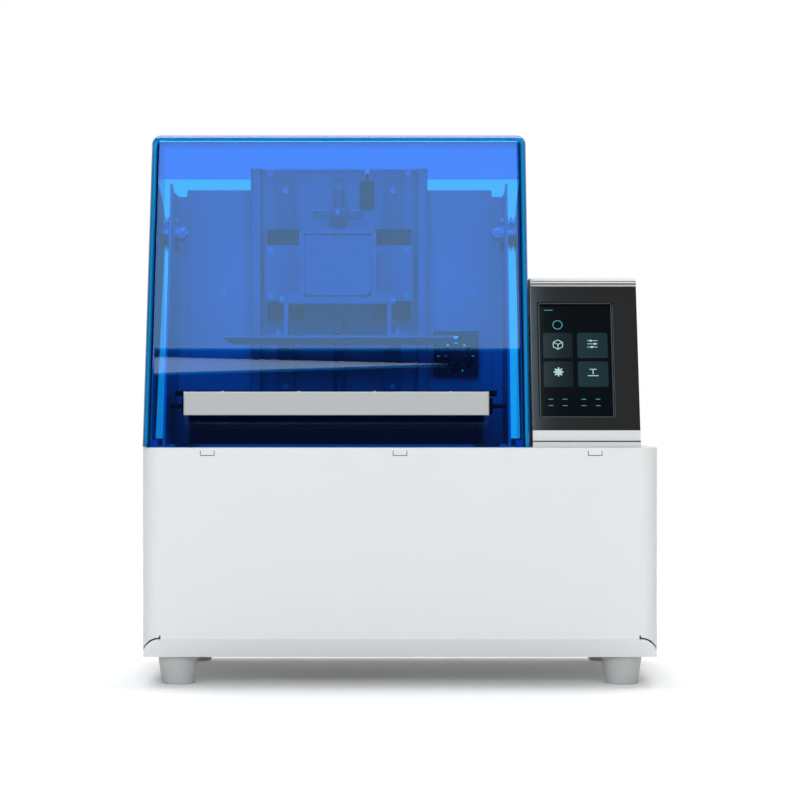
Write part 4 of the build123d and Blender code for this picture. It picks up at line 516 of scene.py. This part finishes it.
low_left, low_right = (left_u - 0.004, symbol_v - 0.0024), (left_u + 0.004, symbol_v - 0.0024)
cube = [stroke(*start, *end, 0.0006) for start, end in (
    (left, crown), (crown, right), (left, near), (near, right), (left, low_left), (right, low_right),
    (near, foot), (low_left, foot), (low_right, foot))]
symbol_v = 0.0160
sliders = []
for k, knob_u in enumerate((-0.0015, 0.002, -0.0005)):
    v = symbol_v + 0.003 * (1 - k)
    sliders.append(stroke(right_u - 0.0045, v, right_u + 0.0045, v, 0.0005))
    sliders.append(disc(right_u + knob_u, v, 0.0010))
symbol_v = -0.0105
gear = [disc(left_u, symbol_v, 0.0028)]
for k in range(8):
    a = math.pi * k / 4
    gear.append(stroke(left_u, symbol_v, left_u + 0.0042 * math.cos(a),
                       symbol_v + 0.0042 * math.sin(a), 0.0012))
symbol_v = -0.0110
level = [stroke(right_u - 0.0045, symbol_v - 0.003, right_u + 0.0045, symbol_v - 0.003, 0.0007),
         stroke(right_u - 0.003, symbol_v + 0.003, right_u + 0.003, symbol_v + 0.003, 0.0007),
         stroke(right_u, symbol_v + 0.003, right_u, symbol_v - 0.0015, 0.0007)]
flat_shape("display_symbols", cube + sliders + gear + level, white_glow, 0.0001)
ring = []
for k in range(20):
    a, b = 2 * math.pi * k / 20, 2 * math.pi * (k + 1) / 20
    ring.append(stroke(left_u + 0.004 * math.cos(a), 0.034 + 0.004 * math.sin(a),
                       left_u + 0.004 * math.cos(b), 0.034 + 0.004 * math.sin(b), 0.0007))
marks = [stroke(u, v, u + 0.004, v, 0.0006)
         for u in (-0.024, -0.012, 0.004, 0.016) for v in (-0.036, -0.042)]
flat_shape("display_status", ring + marks + [stroke(-0.026, 0.048, -0.019, 0.048, 0.0007)],
           mark_glow, 0.0001)

# ------------------------------------------------------------------ studio
# White floor and a lit white card behind, a wide soft light in front, a broad one overhead,
# and a pale blue card with a bright sliver above the front that the leaning lid mirrors.
floor_mesh = bpy.data.meshes.new("floor")
floor_mesh.from_pydata([(-5, -6, 0), (5, -6, 0), (5, 3, 0), (-5, 3, 0)], [], [(0, 1, 2, 3)])
floor = bpy.data.objects.new("floor", floor_mesh)
bpy.context.scene.collection.objects.link(floor)
floor_coat = surface("studio_floor_white", "fbfbfb", 0.8, uneven=0.0)
floor_glow = floor_coat.node_tree.nodes["Principled BSDF"]
floor_glow.inputs["Emission Color"].default_value = (1, 1, 1, 1)
floor_glow.inputs["Emission Strength"].default_value = 0.12
floor_mesh.materials.append(floor_coat)


def glowing_card(name, corners, colour, strength):
    """Flat card that gives light, part of the studio."""
    mesh = bpy.data.meshes.new(name)
    mesh.from_pydata(corners, [], [tuple(range(len(corners)))])
    made = bpy.data.objects.new(name, mesh)
    bpy.context.scene.collection.objects.link(made)
    material = bpy.data.materials.new(name)
    material.use_nodes = True
    tree = material.node_tree
    tree.nodes.clear()
    glow = add(tree, "ShaderNodeEmission", Color=colour, Strength=strength)
    add(tree, "ShaderNodeOutputMaterial", [(glow, 0, "Surface")])
    mesh.materials.append(material)


glowing_card("backdrop", [(-4, 2.6, -0.2), (4, 2.6, -0.2), (4, 2.6, 3.5), (-4, 2.6, 3.5)],
             (1, 1, 1, 1), 1.0)
glowing_card("lid_card", [(-0.9, -1.647, 1.865), (0.2, -1.647, 1.865), (0.2, -1.45, 2.40),
                          (-0.9, -1.45, 2.40)], (0.57, 0.84, 1.0, 1), 3.9)
glowing_card("lid_wedge", [(-0.5, -1.672, 1.832), (0.073, -1.661, 1.846), (-0.5, -1.652, 1.856)],
             (0.7, 0.85, 1.0, 1), 5.0)


def soft_light(name, place, aim, width, height, power):
    """Rectangular area light turned towards a point."""
    data = bpy.data.lights.new(name, "AREA")
    data.shape = "RECTANGLE"
    data.size, data.size_y, data.energy = width, height, power
    made = bpy.data.objects.new(name, data)
    bpy.context.scene.collection.objects.link(made)
    made.location = place
    facing = Vector(aim) - Vector(place)
    made.rotation_euler = facing.to_track_quat("-Z", "Y").to_euler()


soft_light("front_softbox", (0, -4.2, 1.7), (0, 0, 0.2), 4.2, 1.5, 92)
soft_light("overhead_softbox", (0, 0.75, 2.7), (0, 0, 0), 3.4, 1.8, 84)
world = bpy.data.worlds.new("studio_air")
world.use_nodes = True
world.node_tree.nodes["Background"].inputs["Color"].default_value = (0.05, 0.05, 0.052, 1)
bpy.context.scene.world = world
bpy.context.scene.view_settings.view_transform = "Standard"

# ------------------------------------------------------------------ camera
# Level camera in front of the middle, far off, with a long lens.
lens = bpy.data.cameras.new("front_camera")
lens.lens, lens.sensor_width = 153.0, 36.0
camera = bpy.data.objects.new("front_camera", lens)
bpy.context.scene.collection.objects.link(camera)
camera.location = (0, -3.021, 0.241)
camera.rotation_euler = (math.pi / 2, 0, 0)
bpy.context.scene.camera = camera
